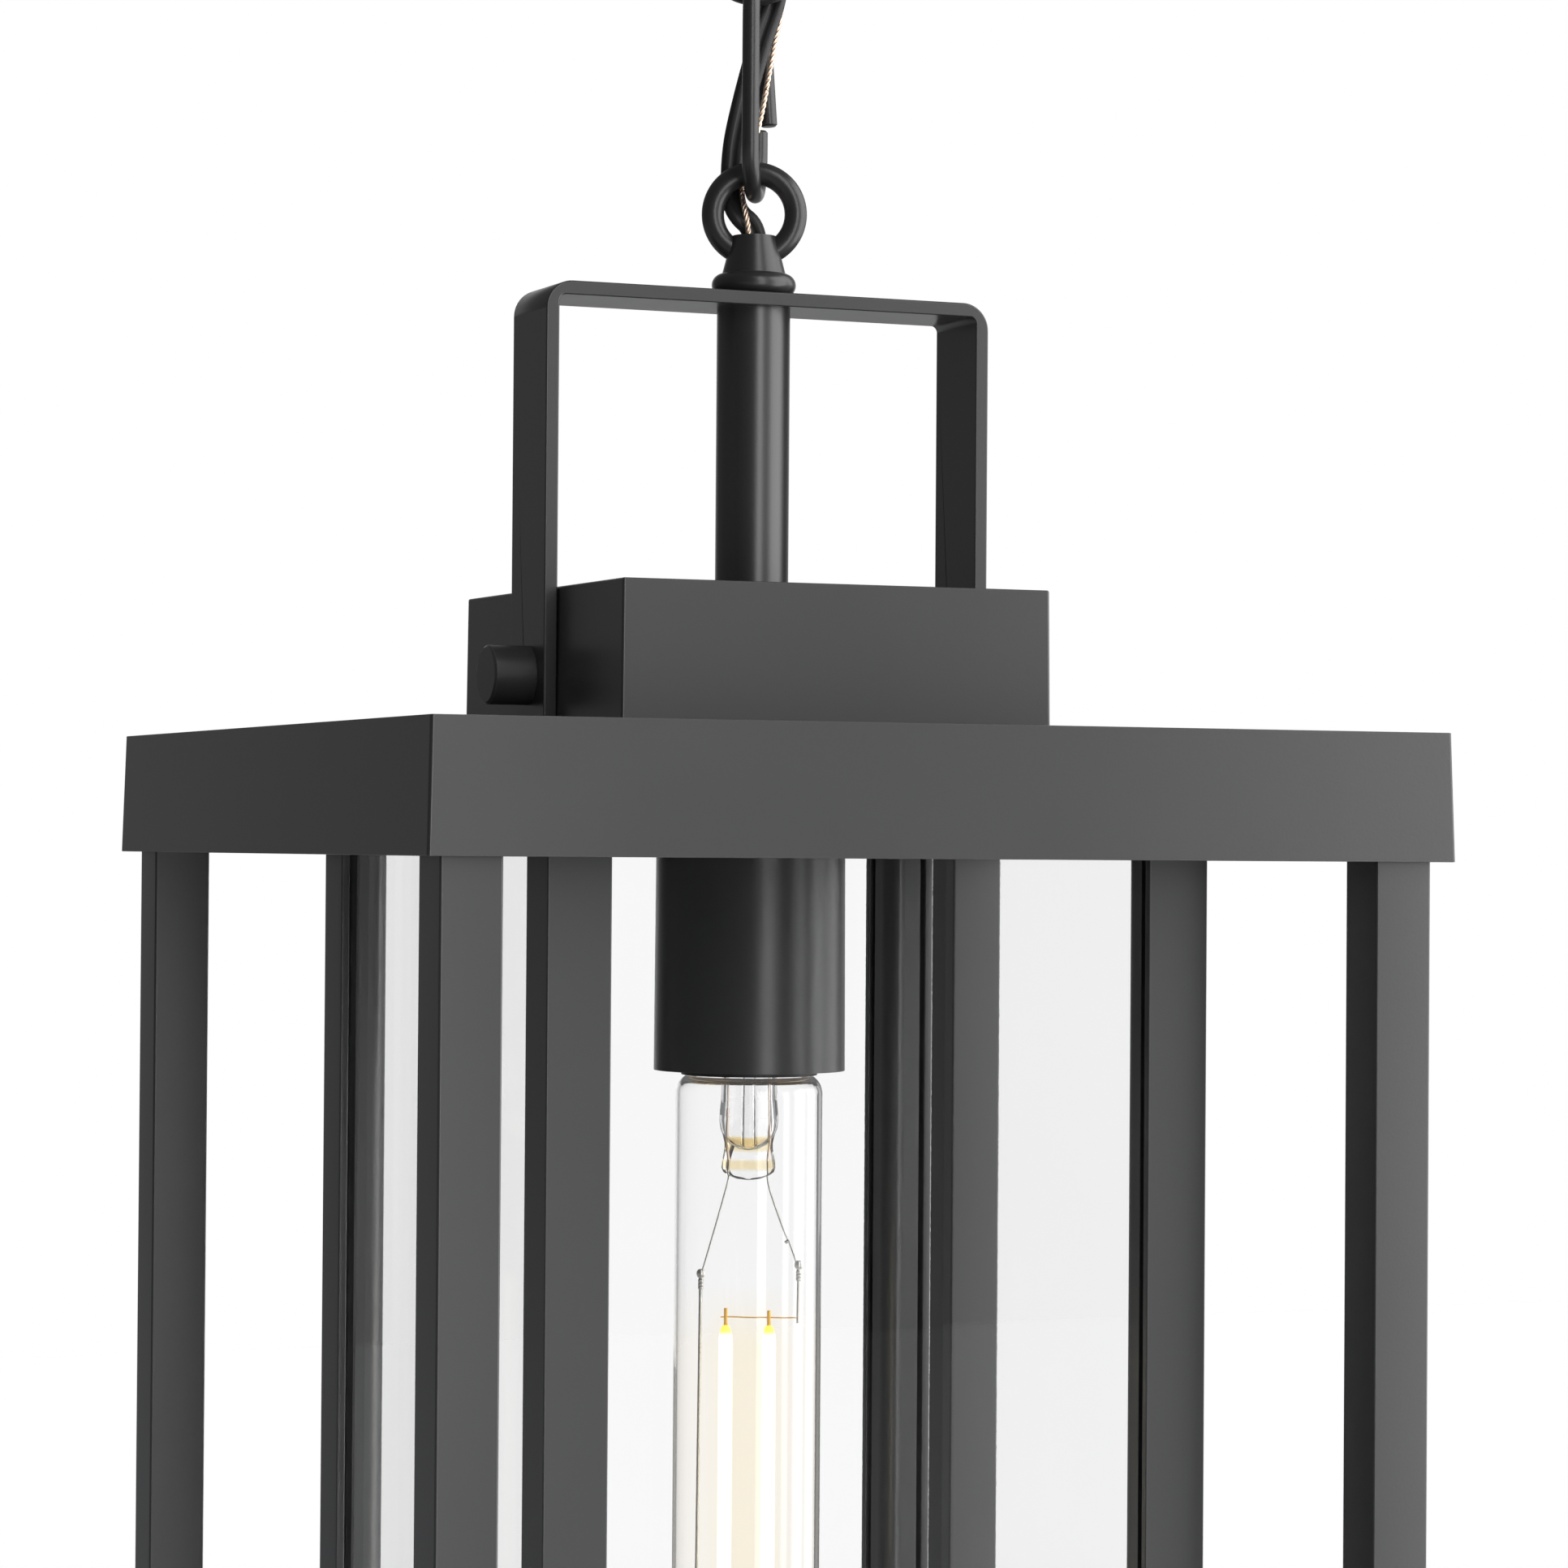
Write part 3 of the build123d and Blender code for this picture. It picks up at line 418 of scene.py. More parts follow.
def crimp(name, across, height):
    """A ribbed ferrule with a folded knob on top, at a place across the bulb."""
    rings = [(pole, pole, height - 2.9), (0.5, 0.5, height - 2.9)]
    for rib in range(3):
        low = height - 2.7 + rib * 0.75
        rings += [(0.6, 0.6, low), (0.6, 0.6, low + 0.35), (0.5, 0.5, low + 0.5)]
    rings += [(0.42, 0.42, height - 0.45), (0.8, 0.55, height - 0.1), (0.95, 0.62, height + 0.5),
              (0.85, 0.6, height + 1.1), (0.45, 0.4, height + 1.5), (pole, pole, height + 1.55)]
    return moved_across(grow_rings(name, rings, points=14, smooth_angle=30), across)


leads = [
    bent_wire("lead_left", [(-4.0, 0, lead_out + 3.2), (-4.1, 0, lead_out), (-4.9, 0, lead_out - 3.4),
                            (-8.0, 0, crimp_left + 7.5), (-9.9, 0, crimp_left + 1.0)], 0.42),
    bent_wire("lead_right", [(3.9, 0, lead_out + 3.2), (4.0, 0, lead_out), (4.6, 0, lead_out - 3.4),
                             (8.3, 0.2, crimp_right + 6.6), (9.3, 0.3, crimp_right + 5.0),
                             (10.6, 0, crimp_right + 1.0)], 0.42),
    crimp("crimp_left", -10.2, crimp_left),
    crimp("crimp_right", 11.1, crimp_right),
    bent_wire("rail_left", [(-10.2, 0, crimp_left - 2.0), (-10.4, 0, crimp_left - 30.0),
                            (-10.8, 0, lead_foot + 2.0), (-10.8, 0, lead_foot)], 0.8),
    bent_wire("rail_right", [(11.1, 0, crimp_right - 2.0), (11.0, 0, cross_height),
                             (11.0, 0, cross_height - 1.2)], 0.7),
    bent_wire("knot", [(8.1, 0.2, crimp_right + 5.3), (8.9, 0.2, crimp_right + 5.9)], 0.75, order=2),
]
lead_pair = turned_to_chain(joined("lead_pair", leads))
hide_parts("lead_wires")
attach(lead_pair, "bulb")
seals = [
    bent_wire("seal_left", [(-4.6, 0, glass_shoulder - 7.4), (-4.55, 0, glass_shoulder - 12.0),
                            (-4.2, 0, glass_shoulder - 16.0), (-4.0, 0, glass_shoulder - 18.4)], 0.6),
    bent_wire("seal_right", [(4.3, -1.2, glass_shoulder - 10.4), (4.2, -0.6, glass_shoulder - 13.0),
                             (4.0, 0, glass_shoulder - 16.0), (3.9, 0, glass_shoulder - 18.4)], 0.5),
    bent_wire("thin_left", [(-4.6, 0, mount_top - 1.0), (-4.7, 0, glass_shoulder),
                            (-4.6, 0, glass_shoulder - 7.4)], 0.3),
    bent_wire("thin_right", [(4.3, -1.2, mount_top - 1.0), (4.3, -1.2, glass_shoulder - 10.4)], 0.3),
]
seal_wires = turned_to_chain(joined("seal_wires", seals))
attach(seal_wires, "bulb")
print("leads", len(lead_pair.data.polygons), "faces, seals", len(seal_wires.data.polygons))

# %% [markdown]
# ## Filaments
# An old-style bulb of this kind glows from two long rods.  A rod is a strip of tiny lamps in a soft
# yellow coat, held by a flat gilt tab at each end, and a gilt wire joins the tops of the rods.  The
# lamps don't show through the coat, so a rod is one turned form with narrower ends.
# %% Filaments and their wires
low_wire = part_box("cross_wires")[0].z * 1000 + 0.35
rod_low, rod_high = low_wire + 1.8, cross_height - 1.8
rod_place = 4.7                                 # mm from the bulb's axis


def filament_rod(name, across):
    """One lit rod with rounded, slightly narrower ends."""
    low, high = rod_low, rod_high
    rings = [(pole, pole, low), (0.7, 0.5, low + 0.05), (1.0, 0.7, low + 0.7), (1.35, 1.2, low + 2.0),
             (1.5, 1.5, low + 3.2), (1.5, 1.5, high - 3.2), (1.35, 1.2, high - 2.0),
             (1.0, 0.7, high - 0.7), (0.7, 0.5, high - 0.05), (pole, pole, high)]
    return moved_across(grow_rings(name, rings, points=20), across)


def gilt_tab(name, across, low, high):
    """A thin flat tab: a cube drawn out, with its edges beveled in edit mode."""
    let_go()
    bpy.ops.mesh.primitive_cube_add(size=1, location=(across * mm, 0, (low + high) / 2 * mm))
    bpy.ops.transform.resize(value=(0.8 * mm, 0.25 * mm, (high - low) * mm))
    bpy.ops.object.transform_apply(location=True, rotation=True, scale=True)
    bpy.ops.object.mode_set(mode="EDIT")
    bpy.ops.mesh.select_all(action="SELECT")
    bpy.ops.mesh.bevel(offset=0.07 * mm, segments=2)
    bpy.ops.object.mode_set(mode="OBJECT")
    return settle(name)


rods = turned_to_chain(joined("filament_rods", [
    filament_rod("rod_left", -rod_place), filament_rod("rod_right", rod_place)]))
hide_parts("filaments")
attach(rods, "bulb")
gilt = [
    bent_wire("cross_upper", [(-5.8, 0, cross_height), (-3.5, 0, cross_height + 0.12),
                              (0, 0, cross_height - 0.1), (4.0, 0, cross_height),
                              (8.0, 0, cross_height - 0.12), (11.3, 0, cross_height)], 0.3),
    bent_wire("cross_lower", [(-11.2, 0, low_wire), (0, 0, low_wire), (5.8, 0, low_wire)], 0.4),
    gilt_tab("tab_left", -rod_place, rod_high - 0.5, cross_height + 2.0),
    gilt_tab("tab_right", rod_place, rod_high - 0.5, cross_height + 1.5),
    gilt_tab("tab_low_left", -rod_place, low_wire - 0.6, rod_low + 0.5),
    gilt_tab("tab_low_right", rod_place, low_wire - 0.6, rod_low + 0.5),
]
gilt_wires = turned_to_chain(joined("gilt_wires", gilt))
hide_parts("cross_wires")
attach(gilt_wires, "bulb")
print("filaments", len(rods.data.polygons), "faces, gilt wires", len(gilt_wires.data.polygons))

# %% [markdown]
# ## Threaded cap
# The cap of the bulb is thin sheet rolled into a coarse round thread, seen only when the bulb is
# unscrewed.  Rings one above the other would look like it, but a thread climbs.  So a wave drawn as
# a smooth path, one pitch long, is swept by the Screw modifier; a plain collar below and a turned-in
# crown above close its ends.
# %% Cap with a rolled thread
cap_low, cap_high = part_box("bulb_cap")
cap_foot, cap_head, crest = cap_low.z * 1000, cap_high.z * 1000, cap_high.x * 1000
root, pitch, sheet = crest - 0.75, 3.63, 0.3
thread_foot = cap_foot + 1.6
turns = int((cap_head - 1.2 - thread_foot) / pitch) - 1
let_go()
bpy.ops.curve.primitive_nurbs_path_add()
wave = bpy.context.active_object.data
for point, (out, rise) in zip(wave.splines[0].points, [
        (root, 0.0), (root, 0.22), (crest + 0.25, 0.5), (root, 0.78), (root, 1.0)]):
    point.co = (out * mm, 0, thread_foot * mm + rise * pitch * mm, 1.0)
wave.splines[0].order_u = 3
wave.splines[0].use_endpoint_u = True
wave.splines[0].resolution_u = 4
bpy.ops.object.convert(target="MESH")
thread = bpy.context.active_object
screw = thread.modifiers.new("thread", "SCREW")
screw.screw_offset = pitch * mm
screw.iterations = turns
screw.steps = screw.render_steps = 40
screw.use_merge_vertices = True
bpy.ops.object.modifier_apply(modifier="thread")
settle("cap_thread", 60)
collar = grow_rings("cap_collar", [(reach, reach, height) for reach, height in (
    (root - sheet, cap_foot), (root, cap_foot), (crest - 0.25, cap_foot + 0.5),
    (crest - 0.25, cap_foot + 2.2), (root, cap_foot + 3.4), (root - 0.02, cap_head - 1.4),
    (root - 0.4, cap_head - 0.4), (root - 1.1, cap_head), (crest - 2.5, cap_head),
    (crest - 2.5, cap_head - sheet), (root - 1.2, cap_head - sheet),
    (root - sheet, cap_head - 1.4), (root - sheet, cap_foot))])
screw_cap = joined("screw_cap", [collar, thread])
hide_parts("bulb_cap")
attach(screw_cap, "bulb")
print("cap thread", turns, "turns,", len(screw_cap.data.polygons), "faces")

# %% [markdown]
# ## Building with nodes
# A finish is a small graph of nodes.  It could be wired by hand in the shader editor, but the same
# few nodes come back in every graph, and a helper for each keeps the graphs below short.
# %% Node helpers
def feed(tree, socket, value):
    """Give an input a value, or link another node's output to it."""
    if isinstance(value, bpy.types.NodeSocket):
        tree.links.new(value, socket)
    else:
        socket.default_value = value


def worked(tree, operation, first, second):
    """A Math node on two sockets or numbers."""
    node = tree.nodes.new("ShaderNodeMath")
    node.operation = operation
    feed(tree, node.inputs[0], first)
    feed(tree, node.inputs[1], second)
    return node.outputs["Value"]


def ranged(tree, value, from_min, from_max, to_min=0.0, to_max=1.0, interpolation="LINEAR"):
    """A Map Range node on a socket."""
    node = tree.nodes.new("ShaderNodeMapRange")
    node.interpolation_type = interpolation
    for label, bound in (("Value", value), ("From Min", from_min), ("From Max", from_max),
                         ("To Min", to_min), ("To Max", to_max)):
        feed(tree, node.inputs[label], bound)
    return node.outputs["Result"]


def noised(tree, vector, scale, detail=2.0, roughness=0.5):
    """A Noise Texture node over a vector."""
    node = tree.nodes.new("ShaderNodeTexNoise")
    for label, value in (("Vector", vector), ("Scale", scale), ("Detail", detail),
                         ("Roughness", roughness)):
        feed(tree, node.inputs[label], value)
    return node.outputs["Fac"]


# %% [markdown]
# ## Effects that several materials share
# Powder paint dries with a fine skin like orange peel, drawn metal keeps fine lines, and corners get a
# painted highlight, a lighter colour along each edge.  Each could be drawn anew in every material, but
# is made once here, as a node group that puts out a height or a mask, and a finish decides how much of
# it shows.  The skin and the lines are noises, the lines with one axis squeezed.  A corner is where a
# rounded normal disagrees with the true one.
# %% Node groups
def new_group(name, inputs, outputs):
    """An empty shader node group with float sockets."""
    group = bpy.data.node_groups.new(name, "ShaderNodeTree")
    for label, value in inputs:
        socket = group.interface.new_socket(label, in_out="INPUT", socket_type="NodeSocketFloat")
        socket.default_value = value
    for label in outputs:
        group.interface.new_socket(label, in_out="OUTPUT", socket_type="NodeSocketFloat")
    return group, group.nodes.new("NodeGroupInput").outputs, group.nodes.new("NodeGroupOutput").inputs


def on_piece(tree):
    """Coordinates that stay with the piece."""
    return tree.nodes.new("ShaderNodeTexCoord").outputs["Object"]


def skin_group():
    """Fine paint skin: Height for bump, Cloud for slow changes of shade and gloss."""
    group, given, put_out = new_group("paint_skin", [("Grain", 1400.0), ("Cloud Size", 14.0)],
                                      ["Height", "Cloud"])
    for label, size, detail in (("Height", "Grain", 3.0), ("Cloud", "Cloud Size", 4.0)):
        group.links.new(noised(group, on_piece(group), given[size], detail, 0.6), put_out[label])
    return group


def lines_group():
    """Fine drawn lines round or along a piece: noise squeezed along one axis."""
    group, given, put_out = new_group("drawn_lines", [("Fineness", 900.0), ("Squeeze", 0.04)],
                                      ["Height", "Streak"])
    squeeze = group.nodes.new("ShaderNodeCombineXYZ")
    for label, value in (("X", 1.0), ("Y", 1.0), ("Z", given["Squeeze"])):
        feed(group, squeeze.inputs[label], value)
    mapping = group.nodes.new("ShaderNodeMapping")
    group.links.new(on_piece(group), mapping.inputs["Vector"])
    group.links.new(squeeze.outputs["Vector"], mapping.inputs["Scale"])
    squeezed = mapping.outputs["Vector"]
    group.links.new(noised(group, squeezed, given["Fineness"], 5.0), put_out["Height"])
    group.links.new(noised(group, squeezed, 60.0), put_out["Streak"])
    return group


def edge_group():
    """Mask for a painted highlight where a surface turns a corner: 1 on the edge, 0 on the flats, broken
    up by fine noise.
    """
    group, given, put_out = new_group("painted_edge_highlight", [("Reach", 0.4 * mm), ("Speckle", 2500.0)], ["Edge"])
    rounded = group.nodes.new("ShaderNodeBevel")
    rounded.samples = 4
    group.links.new(given["Reach"], rounded.inputs["Radius"])
    true_normal = group.nodes.new("ShaderNodeNewGeometry")
    agree = group.nodes.new("ShaderNodeVectorMath")
    agree.operation = "DOT_PRODUCT"
    group.links.new(rounded.outputs["Normal"], agree.inputs[0])
    group.links.new(true_normal.outputs["Normal"], agree.inputs[1])
    turned_away = ranged(group, agree.outputs["Value"], 0.995, 0.88)
    patchy = ranged(group, noised(group, on_piece(group), given["Speckle"]), 0.3, 0.6)
    group.links.new(worked(group, "MULTIPLY", turned_away, patchy), put_out["Edge"])
    return group


paint_skin = skin_group()
drawn_lines = lines_group()
painted_edge_highlight = edge_group()
print("node groups", paint_skin.name, drawn_lines.name, painted_edge_highlight.name)

# %% [markdown]
# ## Materials
# A real finish is never one flat colour.  A picture of it could be wrapped round each piece, but
# that shows its seams.  So every material is a Principled BSDF whose colour and roughness move a
# little with a group's slow noise, and whose bump is the same group's fine height.
# %% Material helper
skin_depth = 0.05 * mm


def mixed(tree, factor, first, second, kind="RGBA"):
    """A Mix node on two colours, or on two numbers if kind is FLOAT."""
    node = tree.nodes.new("ShaderNodeMix")
    node.data_type = kind
    for label, value in (("Factor", factor), ("A", first), ("B", second)):
        feed(tree, node.inputs[label], value)
    return node.outputs["Result"]


def finish_material(name, colour, roughness, metallic=0.0, group=None, group_values=(), shade=0.12,
                    gloss=0.08, bump=0.1, grain=0.0, edge_highlight_colour=None, **sockets):
    """A material whose shade and gloss follow a group's slow mask, with its fine height as bump.
    grain mixes the fine height into the shade, and an edge colour paints a lighter highlight along
    corners."""
    material = bpy.data.materials.new(name)
    material.use_nodes = True
    tree = material.node_tree
    shader = tree.nodes["Principled BSDF"]
    shader.inputs["Metallic"].default_value = metallic
    for label, value in sockets.items():
        shader.inputs[label.replace("_", " ")].default_value = value
    effect = tree.nodes.new("ShaderNodeGroup")
    effect.node_tree = group or paint_skin
    for label, value in group_values:
        effect.inputs[label].default_value = value
    fine, slow = effect.outputs[0], effect.outputs[1]
    darker = (*[c * (1 - shade) for c in colour], 1)
    lighter = (*[min(1.0, c * (1 + shade)) for c in colour], 1)
    painted = mixed(tree, mixed(tree, grain, slow, fine, "FLOAT"), darker, lighter)
    # painted highlight: corners take the lighter edge colour
    if edge_highlight_colour:
        corner = tree.nodes.new("ShaderNodeGroup")
        corner.node_tree = painted_edge_highlight
        painted = mixed(tree, corner.outputs["Edge"], painted, (*edge_highlight_colour, 1))
    tree.links.new(painted, shader.inputs["Base Color"])
    dullness = ranged(tree, slow, 0.0, 1.0, max(0.0, roughness - gloss), min(1.0, roughness + gloss))
    tree.links.new(dullness, shader.inputs["Roughness"])
    relief = tree.nodes.new("ShaderNodeBump")
    relief.inputs["Strength"].default_value = bump
    relief.inputs["Distance"].default_value = skin_depth
    tree.links.new(fine, relief.inputs["Height"])
    tree.links.new(relief.outputs["Normal"], shader.inputs["Normal"])
    return material


# %% [markdown]
# ## Opaque finishes
# Everything outside is steel under matt black powder paint.  Castings and links carry it thicker,
# and the small nuts get a lighter copy of it, a painted highlight; hidden parts are plain zinc, brass,
# solder and moulding.  Black could simply be very dark, but paint is a dark grey with a strong
# reflection over it, and that reflection shows the folds.
# %% Opaque finishes
# Each paint's lighter edge colour is a painted highlight along its corners.
black_paint = finish_material(
    "black_paint", (0.029, 0.029, 0.0295), 0.30, shade=0.16, gloss=0.03, bump=0.22, grain=0.6,
    edge_highlight_colour=(0.085, 0.085, 0.085), Specular_IOR_Level=1.0)
cast_paint = finish_material(
    "cast_paint", (0.026, 0.026, 0.0265), 0.30, shade=0.16, gloss=0.03, bump=0.3, grain=0.6,
    edge_highlight_colour=(0.06, 0.06, 0.06), Specular_IOR_Level=0.7)
# painted highlight: the nuts' paint is a lighter copy of the black paint, with a lighter rim
nut_paint_highlit = finish_material(
    "nut_paint_highlit", (0.043, 0.043, 0.043), 0.34, shade=0.16, bump=0.3, grain=0.6,
    edge_highlight_colour=(0.12, 0.12, 0.12), Specular_IOR_Level=0.6)
zinc_steel = finish_material("zinc_steel", (0.55, 0.55, 0.53), 0.32, 1.0, drawn_lines, bump=0.08)
black_moulding = finish_material("black_moulding", (0.018, 0.018, 0.018), 0.5, bump=0.12)
brass = finish_material("brass", (0.72, 0.5, 0.22), 0.28, 1.0, drawn_lines, bump=0.05)
cap_metal = finish_material("cap_metal", (0.7, 0.55, 0.3), 0.25, 1.0, drawn_lines, bump=0.05)
cap_enamel = finish_material("cap_enamel", (0.012, 0.012, 0.014), 0.12, bump=0.03)
solder = finish_material("solder", (0.5, 0.5, 0.5), 0.42, 1.0, bump=0.3)
lead_wire = finish_material("lead_wire", (0.62, 0.6, 0.55), 0.22, 1.0, drawn_lines, bump=0.05)
cord_sheath = finish_material("cord_sheath", (0.022, 0.022, 0.022), 0.42, bump=0.15)
copper = finish_material("copper", (0.97, 0.74, 0.6), 0.32, 1.0)
# painted glow: the gilt gives off a little orange light of its own
gilt_painted_glow = finish_material("gilt", (0.85, 0.55, 0.14), 0.35, 1.0, Emission_Strength=0.3,
                             Emission_Color=(0.8, 0.42, 0.05, 1))
print("finishes", black_paint.name, "to", gilt_painted_glow.name)

# %% [markdown]
# ## Glass
# Clear glass is nearly nothing but reflections.  A plain transmitting shader would throw a dark
# shadow, because light isn't traced through it, so shadow rays see it as clear.  A ray is given up
# as black when it has crossed too many faces, and nested tubes have many, so after a set number of
# them it sees the rest as clear too.
# %% Glass
def chosen(tree, factor, at_zero, at_one):
    """A Mix Shader node."""
    node = tree.nodes.new("ShaderNodeMixShader")
    for i, socket in enumerate((factor, at_zero, at_one)):
        tree.links.new(socket, node.inputs[i])
    return node.outputs["Shader"]


def glass_material(name, tint, ior, layers):
    """Clear glass that lets shadow rays through, and any ray that has crossed that many faces."""
    material = finish_material(name, tint, 0.0, shade=0.01, gloss=0.0, bump=0.01,
                               Transmission_Weight=1.0, IOR=ior)
    tree = material.node_tree
    clear = tree.nodes.new("ShaderNodeBsdfTransparent")
    clear.inputs["Color"].default_value = (0.985, 0.985, 0.985, 1)
    path = tree.nodes.new("ShaderNodeLightPath")
    deep = worked(tree, "GREATER_THAN", path.outputs["Transmission Depth"], layers - 0.5)
    see_through = worked(tree, "MAXIMUM", path.outputs["Is Shadow Ray"], deep)
    glass = tree.nodes["Principled BSDF"].outputs["BSDF"]
    tree.links.new(chosen(tree, see_through, glass, clear.outputs["BSDF"]),
                   tree.nodes["Material Output"].inputs["Surface"])
    return material


clear_glass = glass_material("clear_glass", (0.989, 0.989, 0.989), 1.25, 6)
bulb_glass = glass_material("bulb_glass", (0.99, 0.99, 0.99), 1.38, 4)
mount_glass = glass_material("mount_glass", (0.99, 0.99, 0.99), 1.4, 8)
print("glasses", clear_glass.name, bulb_glass.name, mount_glass.name)

# %% [markdown]
# ## The rods' light
# A lit rod is white and its two ends are plain yellow.  Three pieces with a material each would do,
# but the light fades over its ends, so one material changes its emission with height.
# %% Lit rods
def ramped(tree, value, stops):
    """A Color Ramp node whose stops are (place, colour)."""
    node = tree.nodes.new("ShaderNodeValToRGB")
    tree.links.new(value, node.inputs["Fac"])
    elements = node.color_ramp.elements
    for element, (place, colour) in zip(elements, (stops[0], stops[-1])):
        element.position = place
        element.color = (*colour, 1)
    for place, colour in stops[1:-1]:
        elements.new(place).color = (*colour, 1)
    return node.outputs["Color"]


def by_height(material, low, high, stops):
    """A colour that changes with height on the piece, from low to high in mm."""
    tree = material.node_tree
    split = tree.nodes.new("ShaderNodeSeparateXYZ")
    tree.links.new(on_piece(tree), split.inputs["Vector"])
    return ramped(tree, ranged(tree, split.outputs["Z"], low * mm, high * mm), stops)


yellow_coat, white_glow = (0.5, 0.42, 0.03), (1.0, 0.94, 0.8)
filament = finish_material("filament", (0.95, 0.75, 0.2), 0.5)
glowing = filament.node_tree.nodes["Principled BSDF"]
glowing.inputs["Emission Strength"].default_value = 1.9
filament.node_tree.links.new(
    by_height(filament, rod_low, rod_high, [
        (0.0, yellow_coat), (0.015, yellow_coat), (0.03, white_glow), (0.97, white_glow),
        (0.985, yellow_coat), (1.0, yellow_coat)]),
    glowing.inputs["Emission Color"])
print("lit rods, emission", round(glowing.inputs["Emission Strength"].default_value, 2))

# %% [markdown]
# ## The rods' glow painted on the glass round them
# The rods' glow is painted onto the glass round them: the bulb's glass looks warm round the rods,
# most before and behind them.  The mount is tinted gold in two bands by height.  Fog in the bulb could
# do the glow, but it is slow and grainy.  So the glass itself is tinted and gives off a very little
# light, a painted glow, by height and distance from the middle.
# %% Painted glow on the glass
clear, warm, gold = (0.992, 0.992, 0.992), (0.995, 0.972, 0.93), (0.93, 0.8, 0.52)
glow, glow_light = (0.999, 0.94, 0.80), (1.0, 0.74, 0.40)
grey_light, warm_light = (0.75, 0.75, 0.75), (1.0, 0.92, 0.82)
# the painted glow on the glass ends at this height
painted_glow_top = glass_shoulder - 44                  # mm, where the warm part of the glass ends above
fade_start, fade_end = 1.5 * mm, 12.0 * mm      # how far from the middle it fades


def between_rods(material, middle_colour, side_colour):
    """The painted glow's middle colour before and behind the rods, fading sideways to the side colour."""
    tree = material.node_tree
    across = tree.nodes.new("ShaderNodeVectorMath")
    across.operation = "DOT_PRODUCT"
    across.inputs[1].default_value = chain_axis @ Vector((1, 0, 0))
    tree.links.new(on_piece(tree), across.inputs[0])
    from_middle = worked(tree, "ABSOLUTE", across.outputs["Value"], 0)
    return mixed(tree, ranged(tree, from_middle, fade_start, fade_end, interpolation="SMOOTHSTEP"),
                 middle_colour, side_colour)


def painted_glow_below(low_colour, high_colour):
    """The envelope's painted glow colour: one beside the rods, another above them."""
    return by_height(bulb_glass, rod_low, painted_glow_top, [
        (0.0, low_colour), (0.85, low_colour), (1.0, high_colour)])


# painted glow: the envelope is tinted warm and gives off a little light, by height and place
envelope_shader = bulb_glass.node_tree.nodes["Principled BSDF"]
envelope_shader.inputs["Emission Strength"].default_value = 0.035
for label, in_middle, at_side, above in (
        ("Base Color", glow, warm, clear), ("Emission Color", glow_light, warm_light, grey_light)):
    bulb_glass.node_tree.links.new(
        between_rods(bulb_glass, painted_glow_below(in_middle, above), painted_glow_below(at_side, above)),
        envelope_shader.inputs[label])
mount_glass.node_tree.links.new(
    by_height(mount_glass, glass_shoulder - mount_drop, glass_shoulder, [
        (0.0, clear), (0.09, clear), (0.12, gold), (0.18, gold), (0.21, clear), (0.27, clear),
        (0.30, gold), (0.40, gold), (0.43, clear), (1.0, clear)]),
    mount_glass.node_tree.nodes["Principled BSDF"].inputs["Base Color"])
print("warm glass from", round(rod_low, 1), "to", round(painted_glow_top, 1), "mm")

# %% [markdown]
# ## Dressing the metalwork
# Each piece of metalwork comes with the name of its material, so a table turns names into finishes
# instead of a choice piece by piece.  Only the castings, links and blind nuts differ from theirs.
# %% Dress the metalwork
slot_material = {
    "black_paint": black_paint, "clear_glass": clear_glass, "zinc_steel": zinc_steel, "brass": brass,
    "black_moulding": black_moulding, "bulb_glass": bulb_glass, "cap_metal": cap_metal,
    "cap_enamel": cap_enamel, "solder": solder, "lead_wire": lead_wire, "filament": filament,
    "cord_sheath": cord_sheath, "copper": copper,
}
node_slot = {part["node"]: part["material_slot"] for part in frame["record"]["subparts"]}
for name, node in frame["nodes"].items():
    node.data.materials.clear()
    node.data.materials.append(slot_material[node_slot[name]])
for name in ("socket_cup", "lantern_loop", "canopy_loop", "lower_link", "upper_link"):
    frame["nodes"][name].data.materials[0] = cast_paint
frame["nodes"]["cap_nuts"].data.materials[0] = nut_paint_highlit
for name, piece in cords.items():
    piece.data.materials.append(copper if name.startswith("earth") else cord_sheath)
for piece, material in ((glass_mount, mount_glass), (lead_pair, lead_wire), (seal_wires, copper),
                        (rods, filament), (gilt_wires, gilt_painted_glow), (screw_cap, cap_metal)):
    piece.data.materials.clear()
    piece.data.materials.append(material)
print("dressed", len(node_slot), "nodes")

# %% [markdown]
# ## Rounded edges
# Folded sheet and cut tube have no sharp edges: paint gathers on a small round that catches the
# light as a thin bright line.  They could be in the metalwork, but they matter only to the light.  A
# weld joins each node's loose triangles and a bevel rounds what turns by more than 40 degrees.  Then
# the large faces lead the normals, so that they stay flat.  The bail's bends are round, so there the
# bevel hardens its own normals instead.
# %% Rounded edges
weld_reach, corner_angle = 0.01 * mm, math.radians(40)
edge_rounds = {"cap_nuts": 0.4, "roof_tray": 0.6, "top_box": 0.5, "bail": 0.35, "cage_rails": 0.5,
               "frame_ties": 0.3, "glass_sill": 0.3, "sill_rails": 0.3}
for name in node_names:
    if name.startswith("cage_post"):
        edge_rounds[name] = 0.5
    if name.startswith("corner_angle"):
        edge_rounds[name] = 0.35
for name, radius in edge_rounds.items():
    node = frame["nodes"][name]
    weld = node.modifiers.new("weld", "WELD")
    weld.merge_threshold = weld_reach
    bevel = node.modifiers.new("round", "BEVEL")
    bevel.width = radius * mm
    bevel.segments = 3
    bevel.limit_method = "ANGLE"
    bevel.angle_limit = corner_angle
    if name == "bail":
        bevel.harden_normals = True
        continue
    flat_faces = node.modifiers.new("flat_faces", "WEIGHTED_NORMAL")
    flat_faces.weight = 100
print("rounded", len(edge_rounds), "nodes")

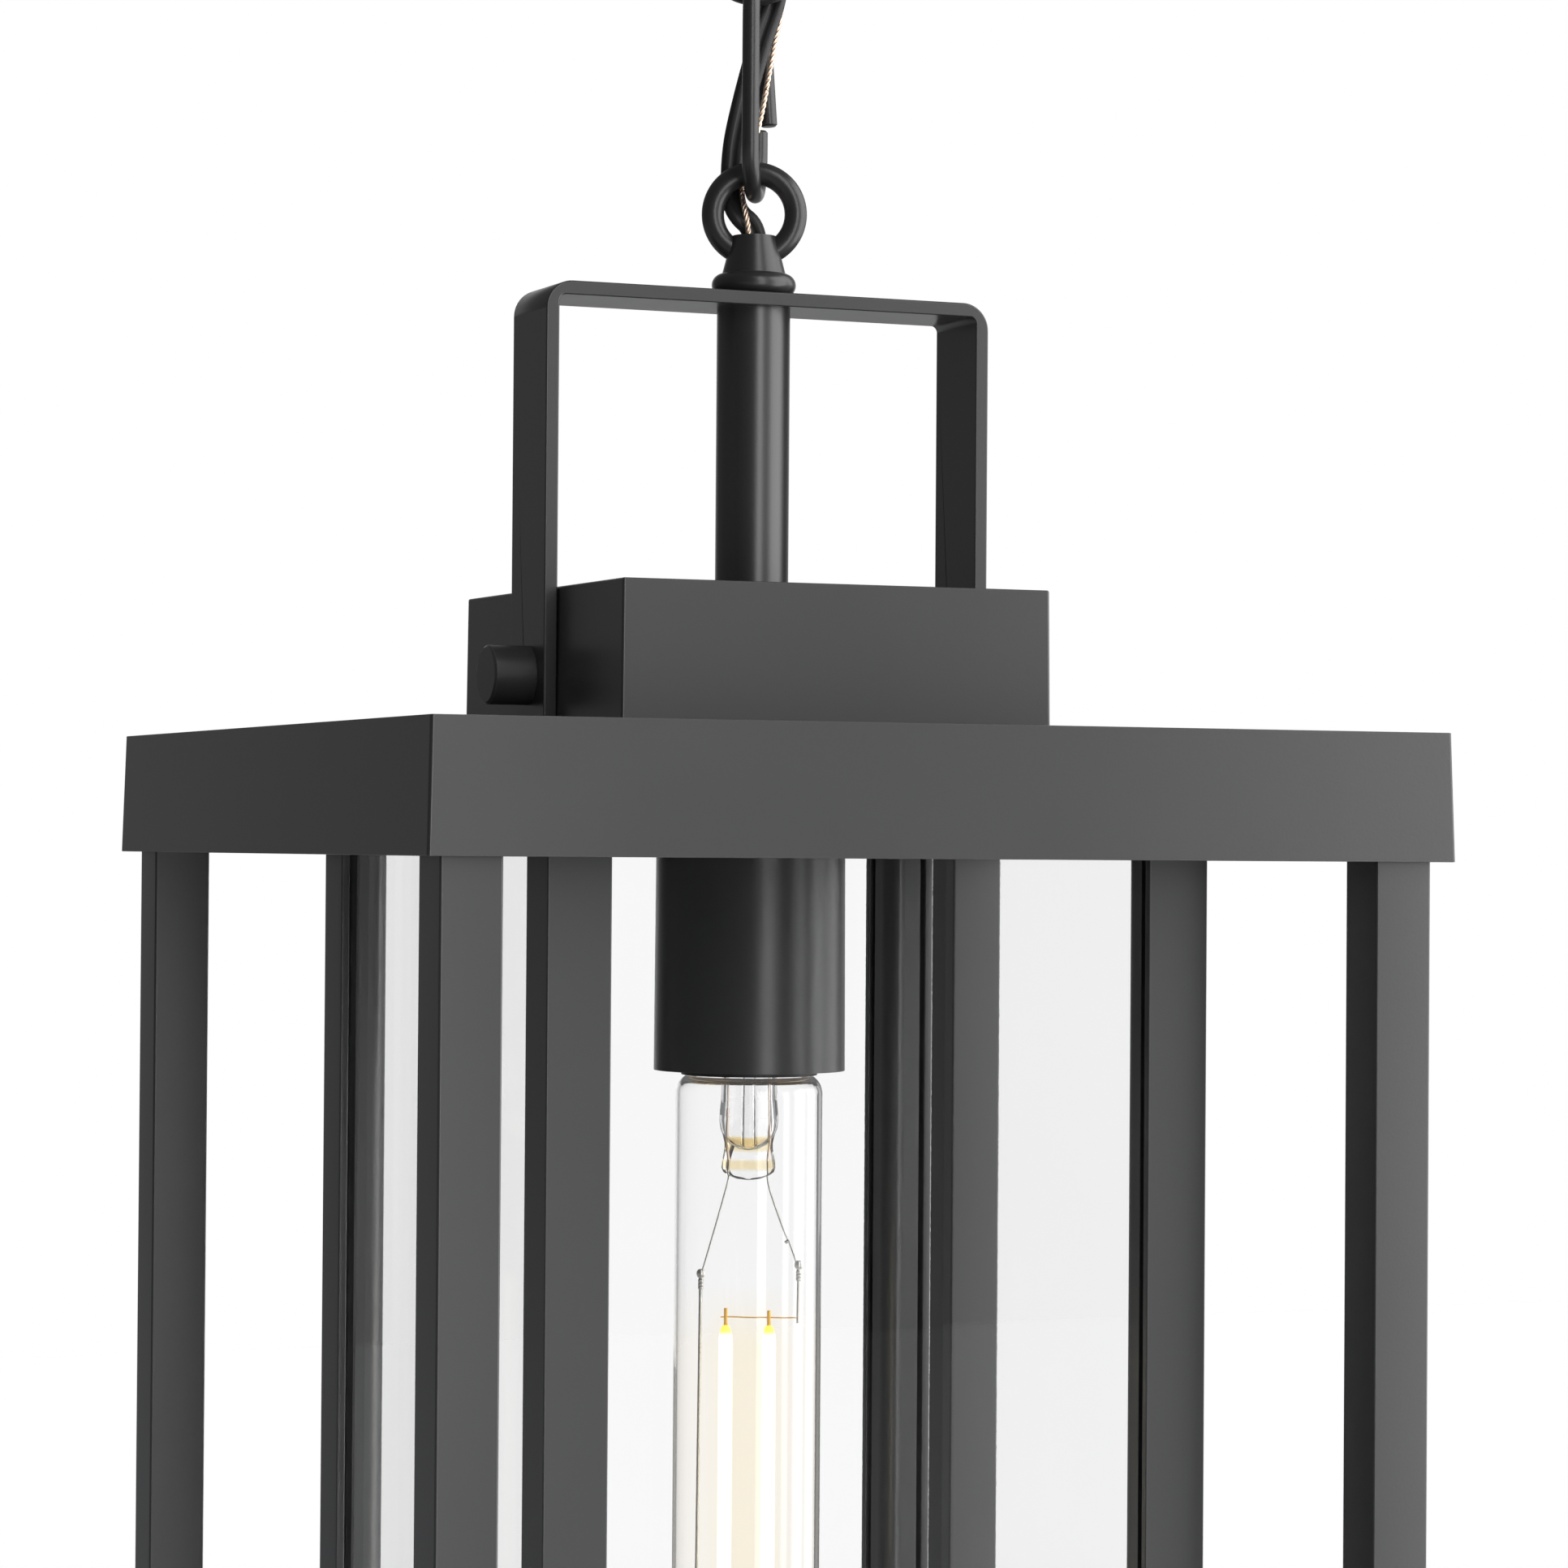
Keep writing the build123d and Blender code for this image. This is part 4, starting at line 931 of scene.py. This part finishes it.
# %% [markdown]
# ## Floor
# The lantern hangs in the open, so the floor is far below and catches only a soft shadow.  A sheet
# bent up behind the lantern would hide where the floor ends, but it would stand in the light.  So the
# floor is a plane that brightens with distance until it runs into the backdrop without a line.  It
# does so only to the eye, so that it lights nothing from below: a ray knows what it has met, and a
# graph can tell one that comes straight from the eye from one that has bounced.
# %% Floor
def seen_directly(tree, path):
    """1 for a ray from the eye, also through glass, and 0 for light that bounced off something."""
    seen = path.outputs
    from_eye = worked(tree, "MAXIMUM", seen["Is Camera Ray"], seen["Is Transmission Ray"])
    no_diffuse = worked(tree, "LESS_THAN", seen["Diffuse Depth"], 0.5)
    no_gloss = worked(tree, "LESS_THAN", seen["Glossy Depth"], 0.5)
    return worked(tree, "MULTIPLY", from_eye, worked(tree, "MULTIPLY", no_diffuse, no_gloss))


floor_size, floor_height = 24, -1.75
bright_start, bright_end = 0.3, 9.0             # m from the middle of the floor
let_go()
bpy.ops.mesh.primitive_plane_add(size=floor_size, location=(0, 0, floor_height))
floor = bpy.context.active_object
floor.name = "floor"
floor_paint = finish_material("floor_paint", (0.86, 0.86, 0.86), 0.6,
                              group_values=[("Grain", 60.0)], shade=0.01)
tree = floor_paint.node_tree
away = tree.nodes.new("ShaderNodeVectorMath")
away.operation = "LENGTH"
tree.links.new(on_piece(tree), away.inputs[0])
lift = ranged(tree, away.outputs["Value"], bright_start, bright_end, 0.36, 0.764, "SMOOTHSTEP")
floor_seen = seen_directly(tree, tree.nodes.new("ShaderNodeLightPath"))
floor_shader = tree.nodes["Principled BSDF"]
floor_shader.inputs["Emission Color"].default_value = (1, 0.994, 0.987, 1)
tree.links.new(worked(tree, "MULTIPLY", lift, floor_seen), floor_shader.inputs["Emission Strength"])
floor.data.materials.append(floor_paint)
print("floor at", floor_height, "m,", floor_size, "m wide")

# %% [markdown]
# ## World
# The room is a white studio with three states.  One white would do for all, but it would wash out
# the black paint.  So the eye sees plain white, also through glass; what paint and metal mirror is
# white only behind the lantern; and what lights the lantern is dim and a little blue.
# %% World
world = bpy.data.worlds.new("studio")
bpy.context.scene.world = world
world.use_nodes = True
sky = world.node_tree
sky.nodes.clear()
# from 0, behind the viewer, to 1, straight behind the lantern: how bright the mirrored room is
mirrored_room = [(0.25, 0.03), (0.62, 0.10), (0.90, 0.12), (0.955, 0.5), (0.99, 1.0)]


def room(name, colour, strength=1.0):
    """One state of the room's light."""
    node = sky.nodes.new("ShaderNodeBackground")
    node.label = name
    feed(sky, node.inputs["Color"], colour)
    node.inputs["Strength"].default_value = strength
    return node.outputs["Background"]


path = sky.nodes.new("ShaderNodeLightPath")
direction = sky.nodes.new("ShaderNodeTexCoord")
ahead = sky.nodes.new("ShaderNodeVectorMath")
ahead.operation = "DOT_PRODUCT"
ahead.inputs[1].default_value = (math.sin(camera_turn), math.cos(camera_turn), 0.0)
sky.links.new(direction.outputs["Generated"], ahead.inputs[0])
falloff = ramped(sky, ranged(sky, ahead.outputs["Value"], -1.0, 1.0),
                 [(place, (grey, grey, grey)) for place, grey in mirrored_room])
lit = room("light on the lantern", (0.95, 0.97, 1.0, 1), 0.27)
mirrored = room("what paint and metal reflect", falloff)
shown = room("what the eye sees", (1, 1, 1, 1))
not_lighting = worked(sky, "LESS_THAN", path.outputs["Diffuse Depth"], 0.5)
bounced = worked(sky, "GREATER_THAN", path.outputs["Glossy Depth"], 0.5)
off_gloss = worked(sky, "MAXIMUM", path.outputs["Is Glossy Ray"], bounced)
reflected = worked(sky, "MULTIPLY", off_gloss, not_lighting)
all_rays = chosen(sky, seen_directly(sky, path), chosen(sky, reflected, lit, mirrored), shown)
sky.links.new(all_rays, sky.nodes.new("ShaderNodeOutputWorld").inputs["Surface"])
print("world nodes", len(sky.nodes))

# %% [markdown]
# ## Lamps
# Four tall soft lamps stand in front and on the right.  A single large one would light every face
# alike.  The front strip draws the streak on stem and cup, the strong one on the right lights the
# faces that turn that way, and the one beyond it draws their edges.  In the panes the weak fill
# would show as a grey veil, so light linking leaves them out.
# %% Lamps
lamp_aim = (0, 0, -0.35)


def soft_lamp(name, place, size, watts):
    """A tall white lamp, size across and high in metres, that looks at the lantern."""
    data = bpy.data.lights.new(name, "AREA")
    data.shape = "RECTANGLE"
    data.size, data.size_y = size
    data.energy = watts
    lamp = bpy.data.objects.new(name, data)
    bpy.context.scene.collection.objects.link(lamp)
    lamp.location = place
    lamp.rotation_euler = (Vector(lamp_aim) - Vector(place)).to_track_quat("-Z", "Y").to_euler()
    return lamp


soft_lamp("front_strip", (-0.02, -1.50, 0.05), (0.42, 2.4), 9.5)
fill = soft_lamp("front_fill", (0.47, -1.42, 0.05), (0.8, 2.4), 2.3)
soft_lamp("right_strip", (1.24, -0.84, -0.05), (1.25, 2.4), 25)
soft_lamp("edge_strip", (1.49, 0.13, -0.05), (0.7, 2.4), 9)
unlit = bpy.data.collections.new("panes the fill leaves alone")
for name in node_names:
    if name.startswith("glass_pane"):
        unlit.objects.link(frame["nodes"][name])
fill.light_linking.receiver_collection = unlit
for entry in unlit.collection_objects:
    entry.light_linking.link_state = "EXCLUDE"

# %% [markdown]
# ## Colour and the end
# White has to stay white, so the picture is shown without a film-like curve, which would turn it
# grey.
# %% Colour and the end
bpy.context.scene.view_settings.view_transform = "Standard"
